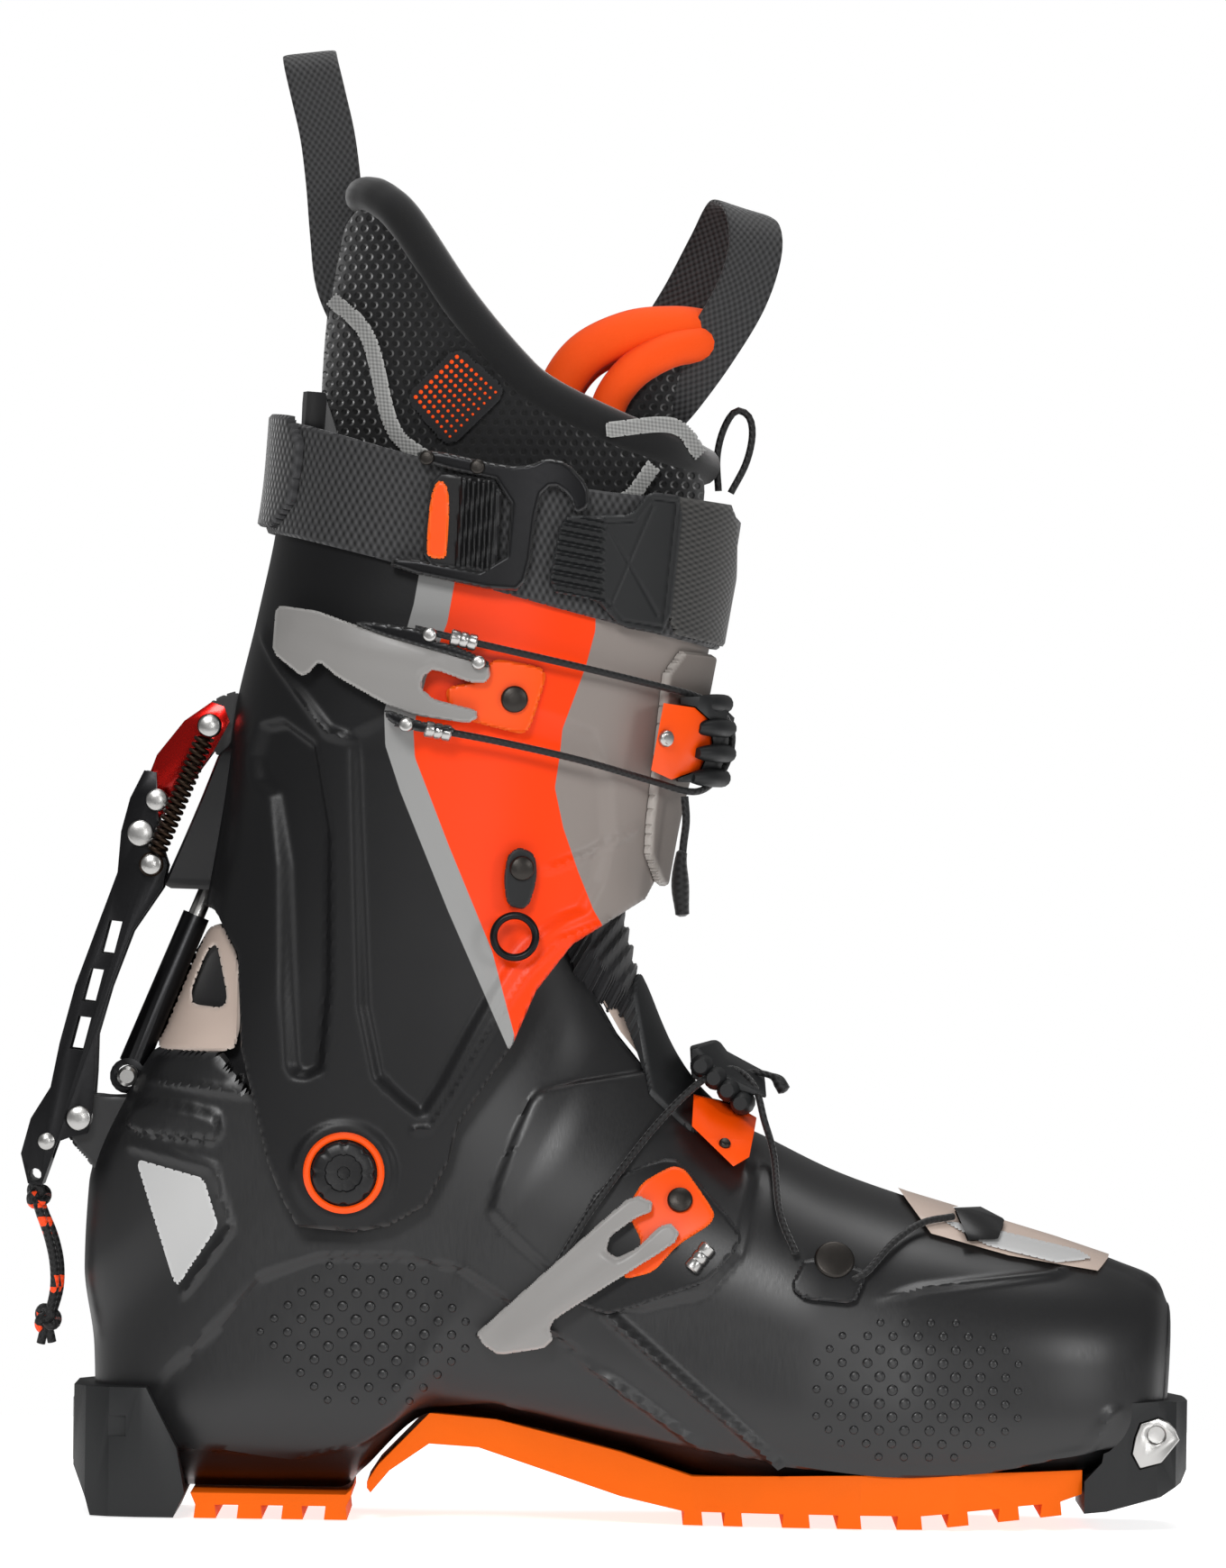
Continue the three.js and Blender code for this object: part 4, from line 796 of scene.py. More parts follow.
@dataclass(frozen=True)
class CuffPaint(Finish):
    """Black cuff with an orange panel, a taupe front and a grey stripe, edged by attributes."""

    zones: tuple[tuple[str, str], ...] = (
        ("taupe_gap", "#857d78"), ("orange_gap", "#f43c00"), ("stripe_gap", "#8f8f8e"))

    def tone(self, tree: Tree, where: Socket) -> Socket:
        """Each zone's colour covers the last where its signed distance is below 0."""
        colour = Finish.tone(self, tree, where)
        for attribute, code in self.zones:
            gap = add_node(tree, "ShaderNodeAttribute", attribute_name=attribute)
            share = add_node(tree, "ShaderNodeMapRange", {
                "Value": gap.outputs["Fac"], "From Min": 0.08, "From Max": -0.08})
            colour = add_node(tree, "ShaderNodeMix", {
                0: share.outputs[0], 6: colour, 7: linear(code)}, data_type="RGBA").outputs[2]
        return colour


@dataclass(frozen=True)
class Webbing(Finish):
    """Woven nylon tape: a plain weave drawn on the attribute weave, in millimetres."""

    warp_mm: float = 1.5
    weft_mm: float = 1.1

    def _waves(self, tree: Tree) -> tuple[Socket, ...]:
        """Sine waves along and across the tape."""
        weave = add_node(tree, "ShaderNodeAttribute", attribute_name="weave")
        parts = add_node(tree, "ShaderNodeSeparateXYZ", {0: weave.outputs["Vector"]})
        waves = []
        for axis, pitch in ((0, self.weft_mm), (1, self.warp_mm)):
            turn = add_node(tree, "ShaderNodeMath", {
                0: parts.outputs[axis], 1: math.pi / pitch}, operation="MULTIPLY")
            waves.append(add_node(tree, "ShaderNodeMath", {0: turn.outputs[0]},
                                  operation="SINE").outputs[0])
        return tuple(waves)

    def relief(self, tree: Tree, where: Socket) -> Socket:
        """Threads that pass over and under: half of one plus the product of the two waves."""
        along, across = self._waves(tree)
        both = add_node(tree, "ShaderNodeMath", {0: along, 1: across}, operation="MULTIPLY")
        return add_node(tree, "ShaderNodeMapRange", {
            "Value": both.outputs[0], "From Min": -1.0, "From Max": 1.0}).outputs[0]

    def tone(self, tree: Tree, where: Socket) -> Socket:
        """Raised threads take the base, and the gaps between them take the darker second tone as painted
        shade.
        """
        height = self.relief(tree, where)
        mix = add_node(tree, "ShaderNodeMix", {
            0: height, 6: linear(self.drift_and_gap_shade), 7: linear(self.base)}, data_type="RGBA")
        return mix.outputs[2]


@dataclass(frozen=True)
class SpacerMesh(Finish):
    """Knitted spacer mesh: round holes on a three-way lattice."""

    pitch_mm: float = 3.0

    def _lattice(self, tree: Tree, where: Socket) -> Socket:
        """Sum of three cosines whose directions are a sixth of a turn apart, 0 in the holes."""
        parts = add_node(tree, "ShaderNodeSeparateXYZ", {0: where})
        total = None
        wave = 2 * math.pi / (self.pitch_mm * MM * math.sqrt(3) / 2)
        for degrees in (90, 30, 150):
            a, b = math.cos(math.radians(degrees)), math.sin(math.radians(degrees))
            first = add_node(tree, "ShaderNodeMath", {0: parts.outputs[0], 1: a * wave},
                             operation="MULTIPLY")
            turn = add_node(tree, "ShaderNodeMath", {
                0: parts.outputs[2], 1: b * wave, 2: first.outputs[0]},
                operation="MULTIPLY_ADD")
            cosine = add_node(tree, "ShaderNodeMath", {0: turn.outputs[0]}, operation="COSINE")
            total = cosine.outputs[0] if total is None else add_node(
                tree, "ShaderNodeMath", {0: total, 1: cosine.outputs[0]},
                operation="ADD").outputs[0]
        return add_node(tree, "ShaderNodeMapRange", {
            "Value": total, "From Min": 1.6, "From Max": -0.4}).outputs[0]

    def relief(self, tree: Tree, where: Socket) -> Socket:
        """Height of the knit between its holes."""
        return self._lattice(tree, where)

    def tone(self, tree: Tree, where: Socket) -> Socket:
        """Holes show the darker second tone as painted shade."""
        mix = add_node(tree, "ShaderNodeMix", {
            0: self._lattice(tree, where), 6: linear(self.drift_and_gap_shade), 7: linear(self.base)},
            data_type="RGBA")
        return mix.outputs[2]


@dataclass(frozen=True)
class Flecked(Webbing):
    """Braided cord with coloured flecks along it."""

    fleck: str = "#ff4a12"
    fleck_share: float = 0.78

    def tone(self, tree: Tree, where: Socket) -> Socket:
        """Braid, with the fleck's colour where cells about 3 mm long fall above the share."""
        base = Webbing.tone(self, tree, where)
        weave = add_node(tree, "ShaderNodeAttribute", attribute_name="weave")
        cells = add_node(tree, "ShaderNodeTexVoronoi", {
            "Vector": weave.outputs["Vector"], "Scale": 0.42})
        pick = add_node(tree, "ShaderNodeMath", {
            0: cells.outputs["Color"], 1: self.fleck_share}, operation="GREATER_THAN")
        mix = add_node(tree, "ShaderNodeMix", {
            0: pick.outputs[0], 6: base, 7: linear(self.fleck)}, data_type="RGBA")
        return mix.outputs[2]


# Glass-filled polyurethane, moulded: satin black with fine upright flow lines.
SHELL_BLACK = Finish("moulded_polyurethane_black", "#19191a", "#141415", "#424243", 0.36,
                     specular=0.5, grain_mm=0.5, grain_um=9, stretch=(1, 1, 0.12))
CUFF_PAINTED = CuffPaint("painted_polyurethane_cuff", "#1a1a1b", "#151516", "#4a4847", 0.36,
                         specular=0.22, grain_mm=0.45, grain_um=9)
TAUPE = Finish("moulded_polyurethane_taupe", "#776f6a", "#6c6560", "#c8c2bc", 0.45, grain_um=10,
               slot="taupe_plastic")
PALE_TAUPE = Finish("moulded_polyurethane_pale_taupe", "#c6b4a8", "#b8a69b", "#ddd2c9", 0.42,
                    slot="pale_taupe")
GREY_BADGE = Finish("printed_film_grey", "#b9b9b8", "#aeaeae", "#d0d0d0", 0.38, grain_um=4)
# Acetal and nylon, moulded: even, slightly glossy, with a painted highlight line on every edge.
ORANGE = Finish("moulded_nylon_orange", "#f65000", "#ec4900", "#ff8030", 0.36, grain_um=6,
                slot="orange_plastic")
BLACK_NYLON = Finish("moulded_nylon_black", "#161617", "#121213", "#454546", 0.34, grain_um=10)
# Rubber, pressed: dull, with a soft bloom.
SOLE_ORANGE = Finish("pressed_rubber_orange", "#e86200", "#dc5a00", "#ff8a30", 0.6,
                     grain_um=16, specular=0.15, slot="orange_rubber")
SOLE_BLACK = Finish("pressed_rubber_black", "#1c1d1e", "#161718", "#444546", 0.48, grain_um=18,
                    slot="rubber_black")
# Cast magnesium with a powder coat.
LEVER_GREY = Finish("powder_coated_magnesium_grey", "#8a8886", "#807e7c", "#c2c0bd", 0.34,
                    grain_mm=0.3, grain_um=8, slot="grey_metal")
# Anodised aluminium: coloured oxide over bright metal.
RED_ANODISED = Finish("anodised_aluminium_red", "#c01008", "#900602", "#ff6a4a", 0.26,
                      metallic=1.0, grain_um=3, coat=0.4, slot="red_anodised")
BLACK_ANODISED = Finish("anodised_aluminium_black", "#1b1b1d", "#121213", "#777777", 0.32,
                        metallic=0.6, grain_um=6, slot="black_metal")
STEEL = Finish("turned_steel", "#c4c3c1", "#9a9997", "#f2f2f2", 0.3, metallic=1.0, grain_um=10,
               grain_mm=0.4, slot="steel")
DARK_STEEL = Finish("blackened_steel_rivet", "#413e3b", "#2c2927", "#8d8a86", 0.38, metallic=0.9,
                    grain_mm=0.35, grain_um=22, slot="steel")
BRONZE = Finish("oiled_spring_wire", "#33261c", "#241a13", "#7c6756", 0.34, metallic=0.8,
                slot="spring_steel")
STRAP_WEB = Webbing("woven_nylon_strap_black", "#454546", "#070708", "#3c3c3e", 0.62,
                    sheen=0.3, grain_um=260, warp_mm=1.9, weft_mm=1.1, slot="fabric_black")
LOOP_WEB = Webbing("woven_nylon_loop_black", "#3d3d3e", "#070708", "#39393b", 0.62, sheen=0.3,
                   grain_um=180, warp_mm=0.9, weft_mm=1.2, slot="fabric_black")
TRIM_WEB = Webbing("woven_tape_grey", "#a3a3a1", "#6c6c6b", "#b9b9b7", 0.66, sheen=0.2,
                   grain_um=160, warp_mm=1.1, weft_mm=0.9, slot="fabric_black")
FRONT_WEB = Webbing("woven_twill_charcoal", "#454442", "#141414", "#555452", 0.66, sheen=0.3,
                    grain_um=200, warp_mm=0.8, weft_mm=1.7, slot="fabric_black")
BRAID = Webbing("braided_cord_black", "#1d1d1e", "#080808", "#2c2c2d", 0.5, sheen=0.3,
                grain_um=120, warp_mm=0.9, weft_mm=0.9, slot="fabric_black")
FLECKED_BRAID = Flecked("braided_cord_black_with_flecks", "#1c1c1d", "#080808", "#2c2c2d", 0.55,
                        sheen=0.3, grain_um=150, warp_mm=0.8, weft_mm=0.8, slot="fabric_black")
SPACER = SpacerMesh("knitted_spacer_mesh_black", "#19191a", "#010101", "#2a2a2a", 0.8, sheen=0.4,
                    grain_um=700, slot="fabric_black")
# Brushed synthetic with a soft nap, over foam.
SOFT_BLACK = Finish("napped_fabric_black", "#121213", "#0c0c0d", "#1c1c1d", 0.85, sheen=0.5,
                    grain_mm=0.35, grain_um=60, slot="fabric_black")
SOFT_ORANGE = Finish("napped_fabric_orange", "#f65204", "#ec4900", "#ff6a1a", 0.8, sheen=0.08,
                     grain_mm=0.6, grain_um=60, slot="fabric_orange")
RIB_BLACK = Finish("ribbed_stretch_fabric_black", "#1e1e20", "#151516", "#2b2b2d", 0.8,
                   sheen=0.3, grain_mm=0.4, grain_um=50, slot="fabric_black")
# Matt paper, lit from below as on a light table.
FLOOR_PAPER = Finish("studio_paper_white", "#e8e8e8", "#e6e6e6", "#e8e8e8", 0.9, grain_um=2,
                     specular=0.0, glow=0.78)


def finished(piece: Piece, finish: Finish, body: Body, *stands_for: str
             ) -> Piece:
    """Dress a piece, let it ride on a body and stand for CAD nodes.

    Args:
        piece: The piece.
        finish: Its finish.
        body: The body it moves with.
        *stands_for: CAD nodes that it replaces.

    Returns:
        The piece.
    """
    finish.dress(piece)
    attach(piece, body.value)
    if stands_for:
        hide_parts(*stands_for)
    log.info("%s rides on %s", piece.name, body.value)
    return piece


def blended(piece: Piece, finish: Finish, bodies: tuple[str, str], start: Sequence[float],
            end: Sequence[float], *stands_for: str) -> Piece:
    """Dress a piece that bends from one body to another, and let it stand for CAD nodes.

    Args:
        piece: The piece.
        finish: Its finish.
        bodies: The body it follows before start, and the one after end.
        start: Place in metres where it begins to bend.
        end: Place in metres where it has bent.
        *stands_for: CAD nodes that it replaces.

    Returns:
        The piece.
    """
    finish.dress(piece)
    if stands_for:
        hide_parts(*stands_for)
    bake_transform(piece, *bodies, start=start, end=end)
    log.info("%s bends from %s to %s", piece.name, *bodies)
    return piece


def body_of(node: str) -> Body:
    """Body that a CAD node rides on."""
    return Body(frame["nodes"][node]["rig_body"])


def rivet(name: str, hull: Hull, at: tuple[float, float], radius: float, low: float, body: Body,
          *nodes: str, finish: Optional[Finish] = None) -> None:
    """Domed rivet that stands square to a wall.

    Args:
        name: The piece's name.
        hull: The wall.
        at: Its x and z.
        radius: Radius of its head.
        low: Height of its underside above the wall.
        body: The body it rides on.
        *nodes: CAD nodes that it replaces.
        finish: Its finish, or blackened steel.
    """
    corners = np.array(at) + ((0, 0), (1, 0), (0, 1))
    point, east, north = (hull.side(*spot[:, None], np.array([low]))[0] for spot in corners)
    normal = np.cross(east - point, north - point)
    normal *= -np.sign(normal[1])
    finished(turned(name, point, normal, dome(radius, 1.5, 0.8), 40), finish or DARK_STEEL, body,
             *nodes)


def softened(node: str, name: str, finish: Finish, width: float = 0.6, angle: float = 30.0
             ) -> Piece:
    """Copy of a CAD node with its triangles merged and its edges rounded by a Bevel.

    Args:
        node: The CAD node.
        name: The new piece's name.
        finish: Its finish.
        width: Width of the rounded edges.
        angle: Edges that turn by less than these degrees are left alone.

    Returns:
        The piece, which stands for the node.
    """
    source = frame["nodes"][node].data
    work = bmesh.new()
    work.from_mesh(source)
    bmesh.ops.remove_doubles(work, verts=work.verts, dist=SAME_POINT)
    bmesh.ops.dissolve_limit(work, angle_limit=math.radians(FLAT_TURN), verts=work.verts,
                             edges=work.edges)
    mesh = bpy.data.meshes.new(name)
    work.to_mesh(mesh)
    work.free()
    mesh.shade_smooth()
    piece = bpy.data.objects.new(name, mesh)
    bpy.context.scene.collection.objects.link(piece)
    bevel = piece.modifiers.new("rounded edges", "BEVEL")
    bevel.width, bevel.segments = width * MM, 2
    bevel.limit_method, bevel.angle_limit = "ANGLE", math.radians(angle)
    bevel.use_clamp_overlap, bevel.harden_normals = True, True
    return finished(piece, finish, body_of(node), node)


# ---------------------------------------------------------------- camera, light and floor
@dataclass
class Studio:
    """Camera far off on the outer side, a pale floor and soft lamps. Sizes in metres."""

    view_height: float = 0.4176
    centre: tuple[float, float] = (0.0912, 0.1976)
    plane_y: float = -0.045
    distance: float = 3.5
    lean: float = -math.atan(1 / 70)
    sky_strength: float = 0.2

    def camera(self) -> None:
        """Set the camera so that the view's height covers view_height at plane_y."""
        data = bpy.data.cameras.new("camera")
        data.sensor_width = 36.0
        data.lens = data.sensor_width * self.distance / self.view_height
        data.clip_start, data.clip_end = 0.1, 50.0
        camera = bpy.data.objects.new("camera", data)
        camera.location = (self.centre[0], self.plane_y - self.distance, self.centre[1])
        camera.rotation_euler = (math.pi / 2, self.lean, 0)
        bpy.context.scene.collection.objects.link(camera)
        bpy.context.scene.camera = camera

    def lamp(self, name: str, at: Sequence[float], size: float, watts: float) -> None:
        """Add a square lamp at a place, facing the boot's middle."""
        data = bpy.data.lights.new(name, "AREA")
        data.size, data.energy = size, watts
        lamp = bpy.data.objects.new(name, data)
        lamp.location = at
        aim = Vector((0.08, 0.0, 0.18)) - Vector(at)
        lamp.rotation_euler = aim.to_track_quat("-Z", "Y").to_euler()
        bpy.context.scene.collection.objects.link(lamp)

    def sky(self) -> None:
        """White to the camera and dim as a light, so that black plastic keeps its depth."""
        world = bpy.data.worlds.new("studio_sky")
        world.use_nodes = True
        tree = world.node_tree
        seen = add_node(tree, "ShaderNodeLightPath").outputs["Is Camera Ray"]
        strength = add_node(tree, "ShaderNodeMapRange", {
            "Value": seen, "To Min": self.sky_strength, "To Max": 1.0})
        background = tree.nodes["Background"]
        background.inputs["Color"].default_value = (1.0, 1.0, 1.0, 1.0)
        tree.links.new(strength.outputs[0], background.inputs["Strength"])
        bpy.context.scene.world = world
        bpy.context.scene.view_settings.view_transform = "Standard"

    def build(self) -> None:
        """Make the lamps, the sky and the floor under the boot."""
        self.lamp("key", (-0.25, -1.5, 0.95), 0.4, 13)
        self.lamp("fill", (1.4, -1.2, 0.6), 0.35, 6)
        self.lamp("top", (0.2, 0.1, 1.4), 0.8, 9)
        self.lamp("front", (0.35, -1.9, 0.3), 0.3, 3.2)
        self.sky()
        across, along = np.meshgrid(np.linspace(-700, 900, 9), np.linspace(-620, 520, 9),
                                    indexing="ij")
        points = np.stack([across, along, across * 0 - 0.4], -1).reshape(-1, 3)
        i, j = np.meshgrid(np.arange(8), np.arange(8), indexing="ij")
        quads = np.stack([i * 9 + j, (i + 1) * 9 + j, (i + 1) * 9 + j + 1, i * 9 + j + 1], -1)
        floor = make_mesh("studio_floor", points, quads.reshape(-1, 4), closed=False)
        FLOOR_PAPER.dress(floor)


# ---------------------------------------------------------------- cords
@dataclass
class Cords:
    """Release cord of the walk lever, zip cord of the ladder and the tongue's finger loop."""

    pull_mm: float = 2.5
    zip_mm: float = 2.2
    loop_mm: float = 2.0
    pull_route: tuple = ((-62.6, 0, 88), (-62.2, -0.6, 84), (-61, -1.4, 80), (-58.6, -1.8, 74),
                         (-56.9, -2, 67), (-56.7, -1.6, 60), (-58, -1, 54), (-59.2, -0.4, 50.5))

    def strand(self, name: str, across: float) -> Piece:
        """One of the two strands of the pull cord, bowed to its side between its ends."""
        path = spline(self.pull_route, 26)
        bow = np.sin(np.linspace(0, np.pi, 26)) * 0.9 + 0.6
        path[:, 1] += across * bow
        path[:, 0] += across * 0.5 * bow
        piece = sweep(name, path, ring_section(self.pull_mm / 2, 10))
        finished(piece, FLECKED_BRAID, Body.LEVER)
        return piece

    def knot(self, name: str, at: Sequence[float], size: float) -> Piece:
        """Tight knot: a three-lobed closed curve, (2 + cos 3t) round a small ring."""
        t = np.linspace(0, 2 * np.pi, 60, endpoint=False)
        wide = (2 + np.cos(3 * t)) * size / 3
        path = np.stack([at[0] + wide * np.cos(2 * t), at[1] + np.sin(3 * t) * size * 0.55,
                         at[2] + wide * np.sin(2 * t) * 1.15], 1)
        piece = sweep(name, path, ring_section(self.pull_mm * 0.46, 8), closed=True,
                      side=(0.3, 1, 0.2))
        return finished(piece, FLECKED_BRAID, Body.LEVER)

    def build(self) -> None:
        """Make the cords and the pieces on them."""
        near, far = self.strand("pull_cord_near", -1.0), self.strand("pull_cord_far", 1.0)
        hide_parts("pull_cord")
        self.knot("pull_cord_knot_top", (-62.2, -0.6, 84.6), 2.6)
        self.knot("pull_cord_knot_low", (-59.3, -0.4, 51.2), 2.9)
        for k, (dx, dz) in enumerate(((-1.6, -5.4), (1.4, -5.0))):
            tail = sweep(f"pull_cord_tail_{k}", spline(
                ((-59.3, -0.4, 50), (-59.3 + dx * 0.6, -0.8, 50 + dz * 0.5),
                 (-59.3 + dx, -0.4, 50 + dz)), 9), ring_section(self.pull_mm / 2, 10))
            finished(tail, FLECKED_BRAID, Body.LEVER)
        y = (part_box("zip_cord")[0].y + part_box("zip_cord")[1].y) / 2 / MM
        route = spline(((110.4, y, 194.5), (110.9, y - 0.4, 188), (110.2, y - 0.2, 181),
                        (109.7, y, 172), (110.1, y + 0.2, 163.2)), 24)
        tape = sweep("zip_cord_braid", route, ring_section(self.zip_mm / 2, 10))
        finished(tape, BRAID, Body.CUFF, "zip_cord")
        tab_path = spline(((109.9, y, 180), (109.5, y - 0.2, 176), (109.6, y, 170),
                           (110.3, y + 0.2, 162.4)), 30)
        girth = 1.9 + 0.9 * np.sin(np.linspace(0, np.pi, 30)) ** 2 + 0.5 * ease(
            np.linspace(0, 1, 30))
        girth[0], girth[-1] = 1.2, 1.0
        tab = sweep("zip_tab_sleeve", tab_path, ring_section(1.0, 14) * (1.25, 0.8), scale=girth)
        finished(tab, BRAID, Body.CUFF, "zip_tab")
        loop = spline(((118.5, 0, 277), (118.0, 0, 286), (119.6, 0, 293.5), (122.8, 0, 298.6),
                       (126.4, 0, 297.2), (127.4, 0, 292), (125.8, 0, 284.5), (121.8, 0, 276.5)),
                      30)
        finger = sweep("finger_loop_cord", loop, ring_section(self.loop_mm / 2, 10))
        finished(finger, BRAID, Body.CUFF, "finger_loop")


# ---------------------------------------------------------------- lower shell
@dataclass
class Relief:
    """Raised (or sunk, below 0) area of a wall, in the side view."""

    outline: Outline
    rise: float
    ramp: float
    low_fade: Optional[tuple[float, float]] = None

    def height(self, at: Array) -> Array:
        """Rise inside the outline, eased over the ramp at its edge and faded out below."""
        gap = inside(rounded(self.outline, 1))(at)
        value = self.rise * ease(0.5 - gap / self.ramp)
        if self.low_fade:
            start, end = self.low_fade
            value = value * ease((at[..., 2] - start) / (end - start))
        return value


@dataclass
class Ridge:
    """Rounded rib or groove along a line, tapering to nothing at its far end if asked."""

    line: Outline
    rise: float
    half: float
    fade: bool = False

    def height(self, at: Array) -> Array:
        """Rise at the line, eased to nothing half a width away."""
        gap = line_gap(self.line, at[..., 0], at[..., 2])
        value = self.rise * ease(1.0 - gap / self.half)
        if self.fade:
            start, end = np.asarray(self.line[0]), np.asarray(self.line[-1])
            run = end - start
            share = ((at[..., 0] - start[0]) * run[0] + (at[..., 2] - start[1]) * run[1]) / (
                run @ run)
            value = value * ease(np.minimum(share, 1 - share) * 6 + 0.15)
        return value


@dataclass
class Clog:
    """Lower shell with its bracket, dots, badge, panels, soles and binding fittings."""

    wall: float = 3.2
    kept: Outline = ((-75, -10), (275, -10), (275, 112), (126, 112), (115, 106.5), (105.6, 116),
                     (93.6, 130.5), (84, 147), (78, 156.3), (72, 150), (60, 130), (45, 118),
                     (20, 113), (-5, 114), (-14, 124), (-60, 124))
    strut_slot: Outline = ((-60, 119), (-60, 135), (-8, 135), (-12, 122), (-30, 110.5),
                           (-44, 110.5))
    bracket: Outline = ((-24, 112.6), (-33, 113), (-41, 111.6), (-47.5, 112.4), (-50.9, 111.5),
                        (-54.7, 109.9), (-56.3, 106.1), (-55.7, 103.2), (-52, 97.5), (-47.5, 93),
                        (-42, 84), (-28, 84), (-24, 95))
    gusset: Outline = ((-13.4, 158.6), (-17, 157.6), (-21, 150.3), (-30.5, 128), (-30, 124.5),
                       (-9, 124.5), (-7.5, 132), (-8.5, 150))
    gusset_window: Outline = ((-14.6, 153.5), (-17.4, 151), (-21.4, 140.5), (-20.6, 136.8),
                              (-12.6, 136.2), (-11.2, 139))
    slot_half: float = 4.4
    ear_half: float = 8.0
    reliefs: tuple = (
        Relief(((-16, 47), (3, 69.7), (47.5, 70.8), (66, 58), (100, 35), (100, 5), (-30, 5),
                (-30, 35)), -1.5, 1.8, (24, 50)),
        Relief(((73.4, 116), (69.2, 110.9), (59.6, 84), (62, 80.5), (74, 69.3), (92, 56),
                (125, 64), (132, 100), (112, 122)), 1.3, 1.7),
        Ridge(((81.6, 46), (101, 33), (120.2, 19.6)), 1.6, 2.2, True),
        Ridge(((92, 56), (115, 36.5), (137.8, 17.6)), 1.8, 2.2),
        Ridge(((137.8, 17.6), (167.6, 14.8), (191.8, 15.7), (220.5, 21.9), (227, 32)), 1.0, 2.2),
        Relief(((-21.2, 17.6), (18.2, 13.8), (47.5, 33.4), (100.8, 22), (137.8, 16.3),
                (167.6, 13.6), (191.8, 14.5), (220.5, 20.9), (262, 24), (262, -12), (-62, -12),
                (-62, 17)), -2.2, 1.8),
        Relief(((-34, 112), (-14.2, 108.5), (-12.4, 106.3), (-12.6, 100.8), (-17.2, 101.2),
                (-39.4, 103.4)), 2.0, 1.4),
        Ridge(((-32.3, 116.6), (-18, 115.2), (-4, 113.4)), 1.0, 1.5),
        Ridge(((-37, 99.5), (-14.2, 93.6), (-9.3, 77.2), (-21, 60.5)), 1.1, 1.5),
        Ridge(((163.7, 60.8), (175.3, 64.3), (210.5, 68.1), (219.4, 72)), 1.0, 1.6, True),
        Relief(((216, 84), (219.5, 72.6), (236, 67), (243, 60), (260, 60), (260, 90)), 0.8, 1.6),
    )

    def lift(self, at: Array) -> Array:
        """Sum of the reliefs, over both sides of the shell."""
        total = np.zeros(at.shape[:-1])
        for item in self.reliefs:
            total = total + item.height(at)
        return total * ease(np.abs(at[..., 1]) / 10.0)

    def kept_edge(self, at: Array) -> Array:
        """Kept inside the side outline, apart from the strut's slot in the middle."""
        slot = np.maximum(inside(self.strut_slot)(at), np.abs(at[..., 1]) - self.slot_half)
        return np.maximum(inside(self.kept)(at), -slot)

    def shell(self) -> None:
        """The shell's wall, from the rounded toe to the heel."""
        v, turn = SHELL.grid(255, 245, first=-1.0)
        piece = Sheet("shell_body", v, turn, SHELL.place, self.kept_edge, self.lift,
                      lambda at: self.lift(at) - self.wall, 0.7, wrap=True).build()
        finished(piece, SHELL_BLACK, Body.CLOG, "lower_shell")

    def ears(self) -> None:
        """Two ears at the heel that hold the lock pin and the strut pin."""
        for name, side in (("outer", -1), ("inner", 1)):
            piece = flat_plate(f"lock_ear_{name}", rounded(self.bracket, 2),
                               side * self.slot_half, side * self.ear_half, 0.6, 0.9)
            finished(piece, SHELL_BLACK, Body.CLOG)
        for node, radius in (("lock_pin", 3.5), ("strut_pin", 2.7)):
            low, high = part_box(node)
            at = ((low.x + high.x) / 2 / MM, 0, (low.z + high.z) / 2 / MM)
            half = (high.y - low.y) / 2 / MM
            profile = [(radius * 0.7, -half - 0.2), (radius, -half + 0.5), (radius, half - 0.5),
                       (radius * 0.7, half + 0.2)]
            finished(turned(f"{node}_steel", at, (0, 1, 0), profile, 28), STEEL, Body.CLOG, node)

    def dots(self, name: str, centre: tuple[float, float], pitch: float, row: float,
             half_rows: int, half_width: float) -> None:
        """Raised dots on a staggered lattice, on both sides, smaller towards its rim.

        Each dot is a flat-topped button, four rings of twelve points laid on the shell.

        Args:
            name: The piece's name.
            centre: Middle of the field of dots.
            pitch: Spacing along a row.
            row: Spacing of the rows.
            half_rows: Rows above the middle one, and below it.
            half_width: Half the middle row's length.
        """
        spots, sizes = [], []
        for k in range(-half_rows, half_rows + 1):
            reach = half_width * (1 - 0.55 * (abs(k) / (half_rows + 0.6)) ** 1.4)
            count = int(reach / pitch)
            offset = 0.0 if k % 2 == 0 else 0.5
            for m in range(-count - 1, count + 1):
                x = (m + offset) * pitch
                if abs(x) <= reach:
                    spots.append((centre[0] + x, centre[1] + k * row))
                    fall = math.hypot(x / half_width, k / (half_rows + 1))
                    sizes.append(1.55 * (1 - 0.4 * fall**2))
        spots, sizes = np.array(spots), np.array(sizes)
        turn = np.linspace(0, 2 * np.pi, 12, endpoint=False)
        rings = ((1.0, -0.3), (1.0, 0.08), (0.72, 0.42), (0.35, 0.47))
        layers = []
        for side in (-1.0, 1.0):
            for share, height in rings:
                x = spots[:, :1] + sizes[:, None] * share * np.cos(turn)
                z = spots[:, 1:] + sizes[:, None] * share * np.sin(turn)
                base = SHELL.side(x, z, 0.0, side)
                layers.append(SHELL.side(x, z, self.lift(base) + height, side))
        points = np.stack(layers).reshape(2, len(rings), len(spots), 12, 3)
        points = points.transpose(0, 2, 1, 3, 4).reshape(-1, 3)
        count = 2 * len(spots)
        i, j, n = np.meshgrid(np.arange(3), np.arange(12), np.arange(count), indexing="ij")
        base, ring = n * 48 + i * 12, 12
        quads = np.stack([base + j, base + (j + 1) % 12, base + ring + (j + 1) % 12,
                          base + ring + j], -1).reshape(-1, 4)
        starts = (np.arange(count) * 48)[:, None, None]
        fans = np.array([[0, k, k + 1, k + 2] for k in range(1, 10, 2)] + [[0, 11, 11, 11]])[:-1]
        lids = (starts + 36 + fans).reshape(-1, 4)
